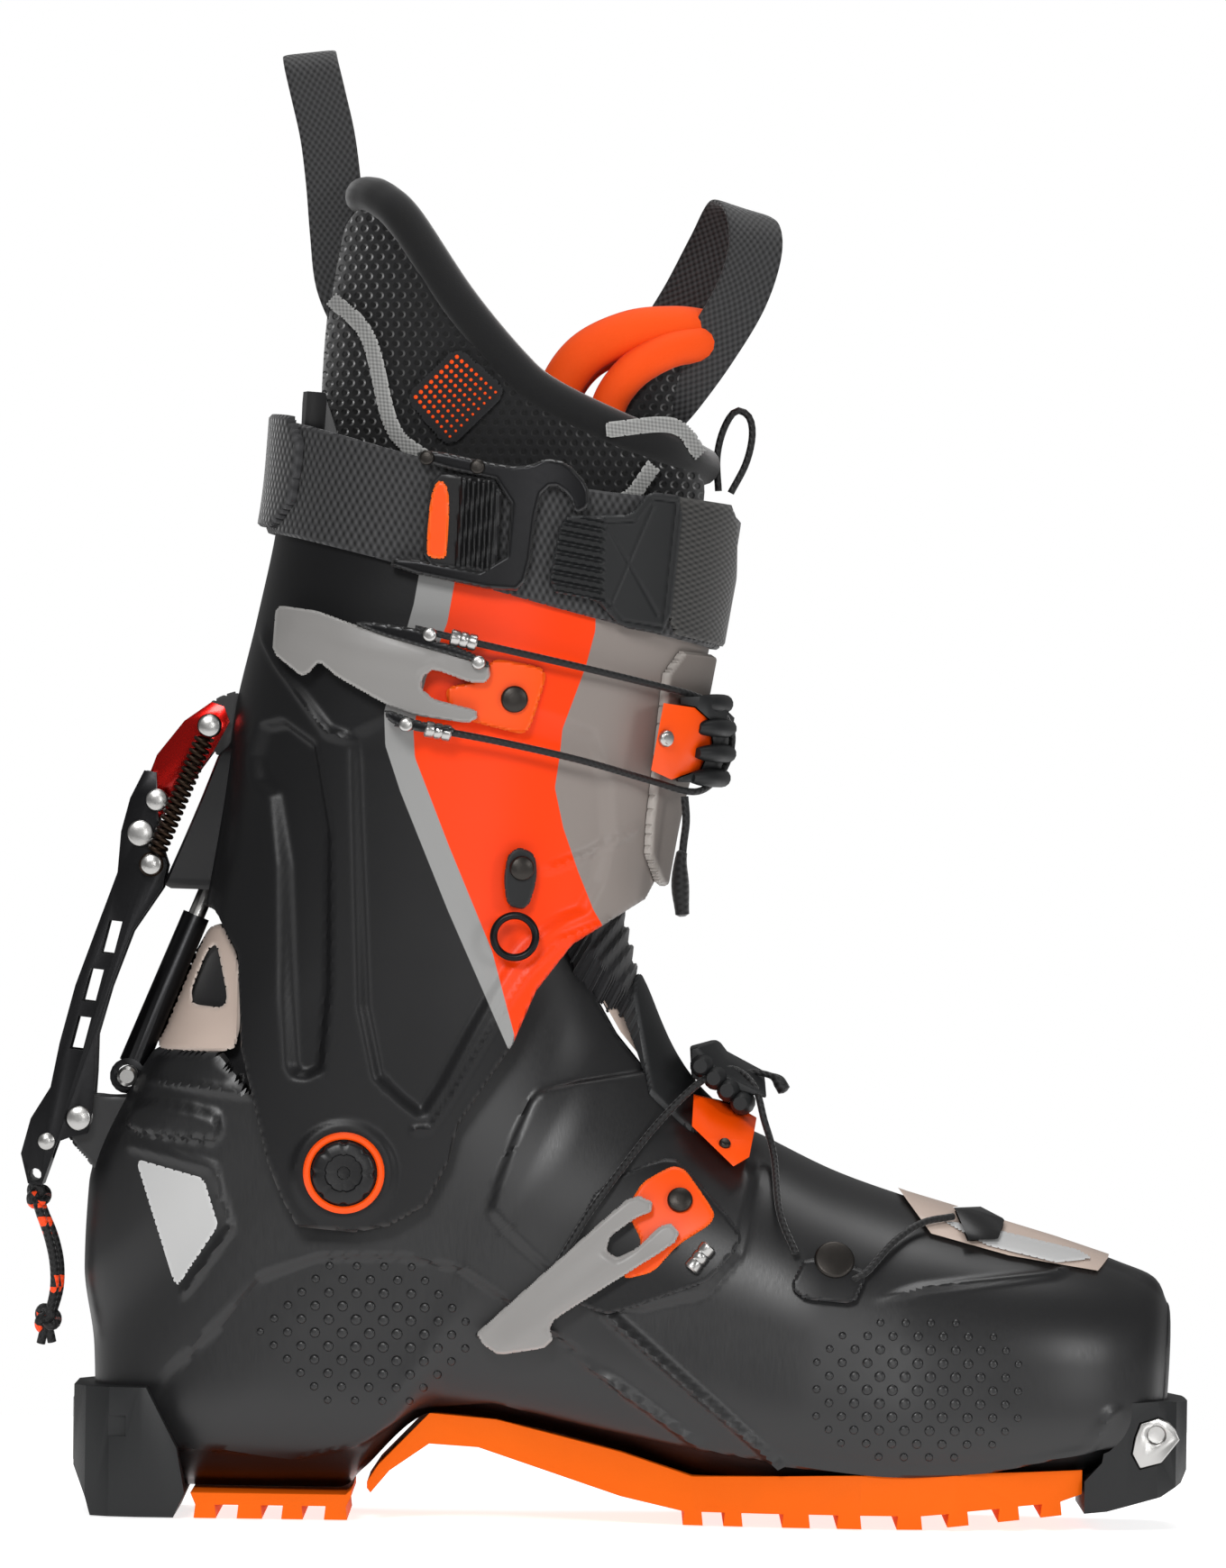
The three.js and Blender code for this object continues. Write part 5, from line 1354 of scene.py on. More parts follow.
        floors = (starts + fans[:, ::-1]).reshape(-1, 4)
        piece = make_mesh(name, points, np.concatenate([quads, lids, floors]), sharp=60)
        finished(piece, SHELL_BLACK, Body.CLOG)

    def trims(self) -> None:
        """Badge, throat flap, gusset, toe panel and the strip on the toe."""
        kite = ((-35.4, 95.4), (-16.7, 90.6), (-12.6, 78), (-23.8, 60.7))
        for name, side in (("outer", -1.0), ("inner", 1.0)):
            badge = plate(f"heel_badge_{name}", SHELL, rounded(kite, 2, 0.06), 0.05, 0.35, 0.6,
                          0.2, side)
            finished(badge, GREY_BADGE, Body.CLOG)
            gusset = plate(f"heel_gusset_{name}", SHELL, rounded(self.gusset, 2, 0.15), -4.2,
                           -1.2, 0.6, 0.7, side, [rounded(self.gusset_window, 2, 0.15)])
            mesh = plate(f"gusset_mesh_{name}", SHELL, rounded(self.gusset, 2, 0.15), -5.6,
                         -4.4, 0.8, 0.5, side)
            hinge = ("clog", "cuff"), (-0.02, 0, 0.126), (-0.02, 0, 0.156)
            blended(gusset, PALE_TAUPE, *hinge, "rear_gusset")
            blended(mesh, RIB_BLACK, *hinge)
        label = ((180.8, 82), (192.9, 75.6), (211.6, 71.2), (222, 72.1), (218.2, 74.3),
                 (191.8, 80.5))
        finished(plate("toe_label", SHELL, label, 1.55, 1.85, 0.5, 0.15), GREY_BADGE, Body.CLOG)
        for node, name, finish in (("throat_flap", "throat_edge", PALE_TAUPE),
                                   ("toe_panel", "toe_cover", PALE_TAUPE),
                                   ("toe_anchor", "toe_cord_anchor", BLACK_NYLON)):
            softened(node, name, finish, 0.5)

    def soles(self) -> None:
        """Treads, heel and toe blocks with their rounded edges, and the binding fittings."""
        for node, name, finish, width in (
                ("heel_block", "heel_rubber", SOLE_BLACK, 0.9),
                ("heel_outsole", "heel_tread", SOLE_ORANGE, 0.5),
                ("forefoot_outsole", "forefoot_tread", SOLE_ORANGE, 0.5),
                ("toe_block", "toe_rubber", SOLE_BLACK, 0.8),
                ("heel_tech_insert", "heel_plate", STEEL, 0.3),
                ("toe_insert_lateral", "toe_plate_outer", STEEL, 0.4),
                ("toe_insert_medial", "toe_plate_inner", STEEL, 0.4),
                ("boot_board", "foot_board", SOLE_BLACK, 0.8)):
            softened(node, name, finish, width, angle=24)

    def build(self) -> None:
        """Make every piece of the lower shell."""
        self.shell()
        self.ears()
        self.dots("heel_dots", (28.3, 49.9), 7.32, 3.59, 5, 31)
        self.dots("toe_dots", (174.5, 37.4), 6.72, 3.58, 5, 31)
        self.trims()
        self.soles()


# ---------------------------------------------------------------- wrapped and soft pieces
def patch(hull: Hull, stations: tuple[float, float], turns: tuple[float, float],
          step: float) -> tuple[Array, Array]:
    """Station and turn numbers over part of a wall.

    Args:
        hull: The wall.
        stations: First and last station number.
        turns: First and last turn.
        step: Spacing of the points in millimetres, about.

    Returns:
        Two arrays, stations and turns.
    """
    v, turn = np.meshgrid(np.linspace(*stations, 30), np.linspace(*turns, 60), indexing="ij")
    at = hull.place(v, turn)
    rows = int(np.linalg.norm(np.diff(at, axis=0), axis=-1).sum(0).max() / step) + 2
    sides = int(np.linalg.norm(np.diff(at, axis=1), axis=-1).sum(1).max() / step) + 2
    return tuple(np.meshgrid(np.linspace(*stations, rows), np.linspace(*turns, sides),
                             indexing="ij"))


def strip(line: Outline, half: float) -> Array:
    """Outline of a ribbon along a line: the line moved to both sides by half its width."""
    points = spline(line, 12 * len(line))
    run = np.gradient(points, axis=0)
    run /= np.linalg.norm(run, axis=1, keepdims=True)
    normal = np.stack([-run[:, 1], run[:, 0]], 1) * half
    return np.concatenate([points + normal, (points - normal)[::-1]])


def along_wall(hull: Hull, points: Sequence[tuple[float, float, float]], sign: float = -1.0
               ) -> Array:
    """Points on a wall's outer (sign -1) or inner side, from (x, z, lift) triples."""
    table = np.asarray(points, float)
    return hull.side(table[:, 0], table[:, 1], table[:, 2], sign)


def puffed(piece: Piece, voxel_mm: float = 4.5, pressure: float = 4.0,
           reach_mm: float = 4.0) -> Piece:
    """Fill a fabric piece as its foam would: a short cloth simulation under inner pressure.

    The piece is remeshed into even faces, swells for 20 frames without gravity, and no point may
    end further than reach_mm from where it began.

    Args:
        piece: The piece, closed.
        voxel_mm: Size of the even faces.
        pressure: Inner pressure of the simulation.
        reach_mm: Furthest that a point may move.
    """
    scene, layer = bpy.context.scene, bpy.context.view_layer
    layer.objects.active = piece
    piece.data.attributes.active = None
    remesh = piece.modifiers.new("even faces", "REMESH")
    remesh.mode, remesh.voxel_size = "VOXEL", voxel_mm * MM
    with bpy.context.temp_override(object=piece, active_object=piece):
        bpy.ops.object.modifier_apply(modifier=remesh.name)
    count = len(piece.data.vertices)
    rest = np.zeros(count * 3)
    piece.data.vertices.foreach_get("co", rest)
    cloth = piece.modifiers.new("cloth", "CLOTH")
    cloth.settings.use_pressure = True
    cloth.settings.uniform_pressure_force = pressure
    cloth.settings.tension_stiffness = cloth.settings.compression_stiffness = 40
    cloth.settings.bending_stiffness = 6
    cloth.settings.effector_weights.gravity = 0
    cloth.collision_settings.use_collision = False
    cloth.point_cache.frame_start, cloth.point_cache.frame_end = 1, 20
    for frame_number in range(1, 21):
        scene.frame_set(frame_number)
    shaped = piece.evaluated_get(bpy.context.evaluated_depsgraph_get()).to_mesh()
    swollen = np.zeros(count * 3)
    shaped.vertices.foreach_get("co", swollen)
    piece.modifiers.remove(cloth)
    scene.frame_set(1)
    move = (swollen - rest).reshape(-1, 3)
    size = np.linalg.norm(move, axis=1, keepdims=True) + 1e-9
    limit = reach_mm * MM
    move *= np.minimum(1.0, limit * np.tanh(size / limit) / size)
    piece.data.vertices.foreach_set("co", (rest + move.ravel()))
    piece.data.shade_smooth()
    smooth = piece.modifiers.new("smooth", "SUBSURF")
    smooth.levels = smooth.render_levels = 1
    log.info("%s swelled by up to %.1f mm", piece.name,
             np.linalg.norm(move, axis=1).max() / MM)
    return piece


# ---------------------------------------------------------------- cuff
@dataclass
class Cuff:
    """Pivoting cuff with its paint zones, hood, lug, front flap, spoiler and pivot bolts."""

    wall: float = 2.8
    pivot: tuple[float, float] = (21.0, 93.0)
    boss_face: float = 44.3
    hood_half: float = 12.0
    kept: Outline = ((-20, 272), (0, 270), (116, 239.5), (135, 235), (135, 184), (106.8, 178),
                     (100.8, 166.6), (81.6, 154.5), (72, 142), (66, 127.7), (51.6, 106),
                     (49.2, 96.2), (43.2, 84.6), (33.6, 79), (24, 77.1), (8.4, 78.4), (4, 86),
                     (0, 95.5), (-7.7, 125.4), (-9.1, 150.6), (-15.6, 162), (-28.8, 168.3),
                     (-40, 175), (-40, 272))
    orange: Outline = ((43, 275), (43.7, 253), (42, 242.4), (37, 226.5), (33.9, 214),
                       (34.3, 205.5), (41.1, 187.6), (53.6, 158), (65.4, 128.2), (66, 118),
                       (80, 118), (95, 150), (86.5, 163.8), (82.3, 173.9), (78.1, 185.7),
                       (75.7, 196.4), (76.9, 204.8), (77.5, 212), (83.5, 228.8), (85.9, 238.4),
                       (86, 248), (86, 275))
    taupe: Outline = ((72, 275), (72, 118), (95, 118), (160, 150), (160, 275))
    stripe: Outline = ((39, 275), (39, 254), (37.5, 244.8), (33, 228), (30, 216), (30.4, 207),
                       (34.6, 194.7), (47.7, 163.2), (64.6, 125.9), (66.5, 128), (59.6, 152.6),
                       (47.7, 180.5), (38.3, 204), (37.8, 212), (41, 225), (46.5, 240),
                       (48.5, 252), (49, 275))
    reliefs: tuple = (
        Relief(((-1.9, 215.7), (14.9, 204), (16, 121.6), (8.3, 117.9), (5.3, 122.6),
                (2.3, 191.8), (-6.6, 198.9)), -2.6, 3.4),
        Relief(((21.4, 218), (22.9, 185), (26.2, 121.7), (39.9, 109.4), (42.9, 109.4),
                (58.4, 138.9), (66.8, 152.2), (76.3, 160.7), (87.1, 165), (92, 190), (84, 218)),
               -1.9, 3.2, (222, 203)),
        Ridge(((-4.3, 239), (1.1, 229), (14.9, 210.5), (23, 207.6)), 1.4, 2.2, True),
        Ridge(((72.8, 173.7), (85.9, 178.7), (100.2, 187.3)), 1.0, 1.8, True),
        Ridge(((39.9, 104.6), (43.6, 104.8), (49, 113), (60.5, 133.5), (69, 147), (78, 155.8),
               (90, 161)), 0.9, 1.5),
    )

    def lift(self, at: Array) -> Array:
        """Reliefs on both sides, the round boss at the pivot and the hood at the back."""
        total = np.zeros(at.shape[:-1])
        for item in self.reliefs:
            total = total + item.height(at)
        total = total * ease((np.abs(at[..., 1]) - 6) / 8)
        x, y, z = at[..., 0], np.abs(at[..., 1]), at[..., 2]
        reach = np.hypot(x - self.pivot[0], z - self.pivot[1])
        flat = self.boss_face - y
        boss = ease((14.6 - reach) / 2.2)
        total = total * (1 - boss) + flat * boss * (y > 30)
        down = np.clip((205 - z) / 37, 0, 1.15)
        hood = (2.5 + 10 * down) * ease((207.5 - z) / 4)
        return total + hood * ease((self.hood_half - y) / 1.7) * (x < 15)

    def shell(self) -> None:
        """The cuff's wall, from the low points at the pivots to its slanting top."""
        v, turn = CUFF.grid(245, 285)
        piece = Sheet("cuff_body", v, turn, CUFF.place,
                      inside(self.kept), self.lift, lambda at: self.lift(at) - self.wall, 1.0,
                      wrap=True, fields={"orange_gap": inside(self.orange),
                                         "taupe_gap": inside(self.taupe),
                                         "stripe_gap": inside(self.stripe)}).build()
        finished(piece, CUFF_PAINTED, Body.CUFF, "cuff_shell")
        lug = ((-8, 222), (-16, 219.5), (-21.5, 214.5), (-21, 208), (-16, 204), (-9, 201))
        finished(flat_plate("link_lug", rounded(lug, 2), -6.25, 6.25, 0.7, 0.8), SHELL_BLACK,
                 Body.CUFF)

    def trims(self) -> None:
        """Overlapping front edge and the spoiler that stands behind the calf."""
        flap = ((103, 176), (101.4, 180), (104, 208), (106.4, 233.6), (122, 232.4), (122, 225),
                (112, 176), (109.5, 171), (105.5, 170))
        v, turn = patch(CUFF, (3.2, 8.4), (-1.7, 0.5), 0.8)
        piece = Sheet("front_flap", v, turn, CUFF.place,
                      lambda at: np.maximum(inside(rounded(flap, 1))(at), at[..., 1] - 12),
                      level(2.6), 0.35, 1.0).build()
        finished(piece, TAUPE, Body.CUFF, "cuff_front_flap")
        softened("calf_spoiler", "calf_plate", SHELL_BLACK, 0.6)

    def pivots(self) -> None:
        """Eight-lobed bolt in a bright ring, on each side."""
        for name, side in (("outer", -1.0), ("inner", 1.0)):
            node = "lateral" if side < 0 else "medial"
            at = (*self.pivot[:1], side * (self.boss_face + 0.35), self.pivot[1])
            head = [(8.6, 0), (8.6, 1.7), (8.2, 2.3), (7.4, 2.7), (5.2, 2.8), (4.8, 2.2),
                    (2.2, 2.0), (1.8, 2.0), (1.6, 0.7), (0.3, 0.6)]
            bolt = turned(f"pivot_bolt_{name}", at, (0, side, 0), head, 96,
                          lambda t: 1 - 0.07 * np.clip(np.cos(8 * t) * 2 - 1, 0, 1))
            finished(bolt, BLACK_NYLON, body_of(f"pivot_bolt_{node}"), f"pivot_bolt_{node}")
            section = [(0, -0.95), (1.5, -0.95), (1.9, -0.5), (1.9, 0.4), (1.4, 0.9),
                       (0, 1.0)]
            ring = sweep(f"pivot_ring_{name}", circle_path(9.9, 72) + np.array(at),
                         np.array(section), closed=True, side=(0, side, 0))
            finished(ring, ORANGE, body_of(f"pivot_ring_{node}"), f"pivot_ring_{node}")

    def build(self) -> None:
        """Make every piece of the cuff."""
        self.shell()
        self.trims()
        self.pivots()


# ---------------------------------------------------------------- walk mechanism
@dataclass
class WalkMechanism:
    """Link, lever, spring, strut and the pins that join them."""

    link_pin: tuple[float, float] = (-17.3, 211.7)
    lever_pin: tuple[float, float] = (-31.2, 191.6)
    lever_eye: tuple[float, float] = (-35.5, 182.6)
    spring_pin: tuple[float, float] = (-32.4, 174.3)
    tail_rivet: tuple[float, float] = (-59.6, 99.4)
    lock_pin: tuple[float, float] = (-51.0, 105.8)
    spring_y: float = -15.9
    coils: int = 19

    def spring(self) -> None:
        """Tension spring: a helix between its two pins with a hook turned round each."""
        a, d = np.array(self.link_pin), np.array(self.spring_pin)
        run = d - a
        length = np.linalg.norm(run)
        run /= length
        across = np.array([-run[1], run[0]])
        share = np.linspace(0, 1, self.coils * 16)
        turn = share * self.coils * 2 * np.pi
        middle = a + run * (3.4 + share[:, None] * (length - 6.8))
        radius, wire, hook_r = 2.15, ring_section(0.62, 7), 2.7
        path = np.stack([middle[:, 0] + across[0] * radius * np.cos(turn),
                         self.spring_y + radius * np.sin(turn),
                         middle[:, 1] + across[1] * radius * np.cos(turn)], 1)
        coil = sweep("lever_spring_coil", path, wire, side=(run[0], 0, run[1]))
        finished(coil, BRONZE, body_of("lever_spring"), "lever_spring")
        for name, pin, way in (("top", a, 1), ("low", d, -1)):
            turn = np.linspace(0.35, 2 * np.pi - 0.35, 22)
            hook = np.stack([pin[0] + hook_r * np.cos(turn) * run[0] * way
                             + hook_r * np.sin(turn) * across[0], np.full(22, self.spring_y),
                             pin[1] + hook_r * np.cos(turn) * run[1] * way
                             + hook_r * np.sin(turn) * across[1]], 1)
            finished(sweep(f"spring_hook_{name}", hook, wire), BRONZE, body_of("lever_spring"))

    def build(self) -> None:
        """Make every piece of the mechanism."""
        softened("walk_link", "link_plate", RED_ANODISED, 0.5)
        softened("walk_lever", "lever_body", BLACK_ANODISED, 0.5)
        softened("strut_sleeve", "strut_tube", BLACK_ANODISED, 0.4)
        softened("strut_rod", "strut_shaft", STEEL, 0.2)
        self.spring()
        for name, (x, z), radius, reach, start, body in (
                ("link_pin", self.link_pin, 3.0, 1.6, 16.6, Body.LINK),
                ("lever_pin", self.lever_pin, 3.0, 1.4, 13.2, Body.LEVER),
                ("spring_pin", self.spring_pin, 2.8, 1.4, 16.6, Body.LEVER),
                ("lever_eye", self.lever_eye, 3.6, 1.3, 12.3, Body.LEVER),
                ("lever_rivet", self.tail_rivet, 2.4, 1.1, 12.3, Body.LEVER),
                ("lock_pin", self.lock_pin, 3.3, 1.4, 13.6, Body.CLOG)):
            head = turned(f"{name}_head", (x, -start, z), (0, -1, 0), dome(radius, reach, 0.6), 36)
            finished(head, STEEL, body)


# ---------------------------------------------------------------- buckles
@dataclass
class Buckles:
    """Cuff buckle and instep buckle: base, rivet, lever, cable, ladder and its mount."""

    base_top: float = 3.0
    lever_low: float = 4.0
    lever_high: float = 7.4
    cable_mm: float = 1.9
    cuff_base: Outline = ((46, 222.6), (55.2, 224.7), (58.8, 230.8), (71.5, 228.6),
                          (73.2, 226.2), (68.8, 211.4), (66, 210.5), (48, 215))
    cuff_lever: Outline = ((1.6, 244), (0.4, 242.6), (-0.2, 231.4), (7.6, 225.2), (9.6, 225.8),
                           (12.6, 229), (17.4, 225), (31, 217.6), (38.5, 215), (52.5, 213.2),
                           (54.9, 214.6), (54.7, 216.8), (43.5, 219.4), (40, 222.2),
                           (40.2, 225.4), (43.2, 227.4), (53, 224), (57, 224), (58.2, 226),
                           (57.8, 228.6), (40.1, 233.8), (21.1, 239.3), (12, 242.6))
    instep_base: Outline = ((100.4, 91.7), (108.5, 96.2), (112.3, 95), (120.4, 83.6),
                            (119, 80.4), (110, 74.6), (104, 67.5), (96, 65.4), (95.4, 69),
                            (100.8, 75), (96, 84))
    bezel: Outline = ((89.3, 91.5), (105.6, 97.9), (110.4, 97.6), (126.7, 79.6),
                      (127.3, 75.7), (119, 66), (116.2, 64.6), (93.1, 56), (87, 57.4),
                      (73, 63.8), (81.6, 76.1))
    instep_lever: Outline = ((56.9, 50.7), (58.8, 47.6), (62.9, 45), (74.9, 47), (77.4, 49.4),
                             (76.4, 52.4), (77.8, 54.9), (109.4, 75.5), (110.6, 78.4),
                             (108.5, 80.8), (105.6, 80.2), (98.9, 73.8), (94.1, 71.4),
                             (91.2, 73.3), (92.2, 77.1), (98.9, 82), (103.1, 83.8),
                             (103.3, 86.4), (99.8, 88), (96, 86.8), (59.5, 53.2))

    def lever(self, name: str, hull: Hull, outline: Outline, crown: Outline, body: Body,
              node: str) -> None:
        """Cast lever with a rounded rim and a raised spine along its middle.

        Args:
            name: The piece's name.
            hull: The wall it lies over.
            outline: Its outline.
            crown: Line of its spine.
            body: The body it rides on.
            node: The CAD node that it replaces.
        """

        def shape(at: Array) -> Array:
            """Height of the spine, falling off towards the rim."""
            spine = line_gap(crown, at[..., 0], at[..., 2])
            return 0.7 * ease(-inside(outline)(at) / 2.2) * ease(1 - spine / 7)

        piece = plate(name, hull, rounded(outline, 1, 0.12), self.lever_low, self.lever_high - 0.4,
                      0.42, 1.0, shape=shape)
        finished(piece, LEVER_GREY, body, node)

    def cable(self, name: str, path: Array, bodies: tuple[str, str], ends: tuple, node: str
              ) -> None:
        """Braided wire rope that bends between the lever and the wall under it.

        Args:
            name: The piece's name.
            path: Its points.
            bodies: The lever's body and the wall's.
            ends: Places in metres where it begins to bend and where it has bent.
            node: The CAD node that it replaces.
        """
        blended(sweep(name, path, ring_section(self.cable_mm / 2, 12)), BRAID, bodies, *ends, node)

    def ferrule(self, name: str, a: Array, b: Array, radius: float, body: Body) -> None:
        """Pressed steel sleeve from a to b on a cable's end, with two crimp grooves."""
        run = b - a
        length = float(np.linalg.norm(run))
        profile = [(radius * 0.8, 0), (radius, 0.4), (radius, length * 0.3),
                   (radius * 0.86, length * 0.36), (radius, length * 0.42),
                   (radius, length * 0.6), (radius * 0.86, length * 0.66),
                   (radius, length * 0.72), (radius, length - 0.4), (radius * 0.8, length)]
        finished(turned(name, a, run, profile, 28), STEEL, body)

    def bars(self, name: str, spots: Sequence[tuple[float, float]], across: Sequence[float],
             forward: Sequence[float], body: Body, radius: float = 2.5) -> None:
        """Rounded rubber bars that cross the front from the outer side.

        Args:
            name: Start of each bar's name.
            spots: Each bar's x and z at its outer end.
            across: Places along y.
            forward: How far the bar runs forward at each of those.
            body: What they ride on.
            radius: Radius at a bar's middle.
        """
        for k, (x, z) in enumerate(spots):
            path = np.stack([x + np.array(forward), np.array(across, float),
                             np.full(len(across), z)], 1)
            girth = 1 - 0.45 * np.abs(np.linspace(-1, 1, 40)) ** 6
            finished(sweep(f"{name}_{k}", spline(path, 40), ring_section(radius, 14),
                           scale=girth, side=(0, 0, 1)), SOLE_BLACK, body)

    def build_cuff(self) -> None:
        """The buckle on the cuff."""
        piece = plate("cuff_buckle_plate", CUFF, rounded(self.cuff_base, 2, 0.16), 0.35,
                      self.base_top, 0.6, 0.9)
        finished(piece, ORANGE, Body.CUFF, "cuff_buckle_base")
        rivet("cuff_buckle_stud", CUFF, (64.6, 219.8), 3.6, self.base_top + 0.2,
                   Body.CUFF, "cuff_buckle_rivet")
        self.lever("cuff_lever_casting", CUFF, self.cuff_lever,
                   ((6, 238), (24, 232), (40, 229)), Body.UPPER_BUCKLE, "cuff_buckle_lever")
        for k, (x, z) in enumerate(((42, 236.6), (55, 229.4), (36, 212.6))):
            rivet(f"cuff_trunnion_{k}", CUFF, (x, z), 1.9, self.lever_high + 0.6,
                       Body.UPPER_BUCKLE, finish=STEEL)
        top_arm = ((21.1, 239.6), (25.3, 239.9), (41, 237.8), (43.5, 234.8), (47.6, 234.2),
                   (57.5, 230.2), (58.4, 227.4), (55, 229.4), (40.1, 233.2), (28.6, 236.4))
        low_arm = ((29.9, 217), (40.1, 213.4), (49.2, 212), (48.4, 210.2), (38, 210.8),
                   (31, 213.4))
        for name, arm in (("top", top_arm), ("low", low_arm)):
            finished(plate(f"cuff_lever_arm_{name}", CUFF, rounded(arm, 1, 0.2), 3.4, 8.1, 0.5,
                           0.8), BLACK_ANODISED, Body.UPPER_BUCKLE)
        rivet("ladder_mount_screw", CUFF, (104.9, 210), 2.3, 9.4, Body.CUFF, finish=STEEL)
        upper = along_wall(CUFF, [(38, 238.2, 7), (55, 234.4, 7), (81.6, 228.7, 5),
                                  (100, 224.6, 4)])
        lower = along_wall(CUFF, [(100, 199, 4), (81.6, 204, 5), (57.6, 209, 5), (33, 213, 7)])
        front = np.array([(113, -27, 221.4), (119.4, -19, 218), (122.6, -12, 213),
                          (123, -10, 208.6), (121.6, -12.4, 203.4), (118.6, -18, 199),
                          (112.6, -27, 195.8)])
        path = spline(np.concatenate([upper, front, lower]), 150)
        self.cable("cuff_wire_rope", path, ("upper_buckle", "cuff"),
                   ((0.045, -0.055, 0.222), (0.085, -0.055, 0.222)), "cuff_cable")
        near = along_wall(CUFF, [(47.5, 236.2, 7), (54.6, 234.5, 7), (41, 211.6, 6.3),
                                 (48, 210.3, 5.8)])
        self.ferrule("cuff_ferrule_top", near[0], near[1], 2.2, Body.UPPER_BUCKLE)
        self.ferrule("cuff_ferrule_low", near[2], near[3], 2.2, Body.UPPER_BUCKLE)
        softened("cuff_ladder", "cuff_ladder_strip", SOLE_BLACK, 0.8)
        softened("cuff_ladder_mount", "ladder_mount", ORANGE, 0.7)
        self.bars("cuff_ladder_bar", ((114.6, 219.6), (115.6, 213), (115.6, 206.2), (114.2, 199.6)),
                  (-28, -22, -10, 5), (-2, 3.4, 6, 6.2), Body.CUFF)

    def build_instep(self) -> None:
        """The buckle over the instep, its plates, ladder, cable guide and toe cord."""
        finished(plate("instep_plate", SHELL, rounded(self.bezel, 1, 0.2), 0.35, 2.4, 0.6, 0.7),
                 BLACK_NYLON, Body.CLOG, "instep_bezel")
        finished(plate("instep_buckle_plate", SHELL, rounded(self.instep_base, 2, 0.16), 0.35,
                       self.base_top, 0.55, 0.9), ORANGE, Body.CLOG, "instep_buckle_base")
        rivet("instep_stud", SHELL, (110.6, 86.8), 3.4, self.base_top + 0.2, Body.CLOG,
                   "instep_buckle_rivet")
        self.lever("instep_lever_casting", SHELL, self.instep_lever,
                   ((67, 48), (80, 60), (94, 72)), Body.INSTEP_BUCKLE, "instep_buckle_lever")
        ends = along_wall(SHELL, [(77.4, 67.6, 5), (81, 74, 5.4), (86, 82.4, 5), (92, 91, 4.6)])
        over = np.array([(104, -32.5, 106.5), (115.5, -27.5, 118), (124, -18, 121.6),
                         (130.2, -22, 117), (133, -26.5, 108)])
        back = along_wall(SHELL, [(135.6, 99, 3), (137.3, 84, 2.8), (141.6, 73.4, 3.6)])
        path = spline(np.concatenate([ends, over, back]), 130)
        self.cable("instep_wire_rope", path, ("instep_buckle", "clog"),
                   ((0.078, -0.045, 0.068), (0.1, -0.035, 0.102)), "instep_cable")
        tail = spline(((127, -14, 120.4), (131.5, -15, 120.6), (136, -16.4, 119.2),
                       (138.6, -17, 115.6)), 30)
        girth = 0.85 + 0.95 * ease((np.linspace(0, 1, 30) - 0.55) / 0.25)
        girth[-1] = 0.7
        finished(sweep("instep_rope_tail", tail, ring_section(1.0, 12), scale=girth), BRAID,
                 Body.CLOG, "toe_cord_rear")
        near = along_wall(SHELL, [(113.6, 68.6, 3.6), (118.6, 75, 3.6)])
        self.ferrule("instep_ferrule", near[0], near[1], 2.2, Body.CLOG)
        softened("instep_ladder", "instep_ladder_strip", SOLE_BLACK, 0.8)
        softened("instep_ladder_clip", "ladder_clip", ORANGE, 0.7)
        plate_line = ((140.7, 65.7), (144, 72.4), (159.4, 69.6), (160.3, 66.6), (157.4, 60.2),
                      (144, 61.2), (140.7, 63.8))
        finished(plate("cable_guide_plate", SHELL, rounded(plate_line, 1, 0.15), 0.35, 3.4, 0.6,
                       0.9), BLACK_NYLON, Body.CLOG, "cable_guide")
        rivet("cable_guide_stud", SHELL, (151.9, 71.4), 5.4, 2.6, Body.CLOG)
        toe = along_wall(SHELL, [(157, 66.4, 3.4), (161, 69, 2.4), (168, 76.6, 2.4),
                                 (175.7, 81.4, 2.6), (184, 83, 3.2)])
        finished(sweep("toe_cord", spline(toe, 50), ring_section(self.cable_mm / 2, 12)), BRAID,
                 Body.CLOG, "toe_cord_front")
        self.bars("instep_ladder_bar", ((115.6, 122.4), (119.2, 119.2), (122.8, 116),
                                        (126.4, 112.6)), (-28, -22, -8, 4), (0, 0.6, 1, 1),
                  Body.CLOG, 3.4)
        v, turn = patch(SHELL, (6.5, 12.5), (-1.2, 1.2), 0.8)
        flap = ((97, 147), (100.6, 126), (103.1, 111.7), (110.8, 106.3), (120, 104.5),
                (124, 108), (112, 124), (105, 136), (103, 147))
        piece = Sheet("throat_rubber_flap", v, turn, SHELL.place,
                      lambda at: np.maximum(inside(rounded(flap, 1))(at),
                                            np.abs(at[..., 1]) - 27),
                      lambda at: 2.6 + 5.5 * ease((at[..., 2] - 118) / 22), level(0.3),
                      1.0).build()
        finished(piece, SOLE_BLACK, Body.CLOG)
        rivet("instep_clip_screw", SHELL, (122.3, 101.6), 1.6, 7, Body.CLOG)

    def build(self) -> None:
        """Make both buckles."""
        self.build_cuff()
        self.build_instep()


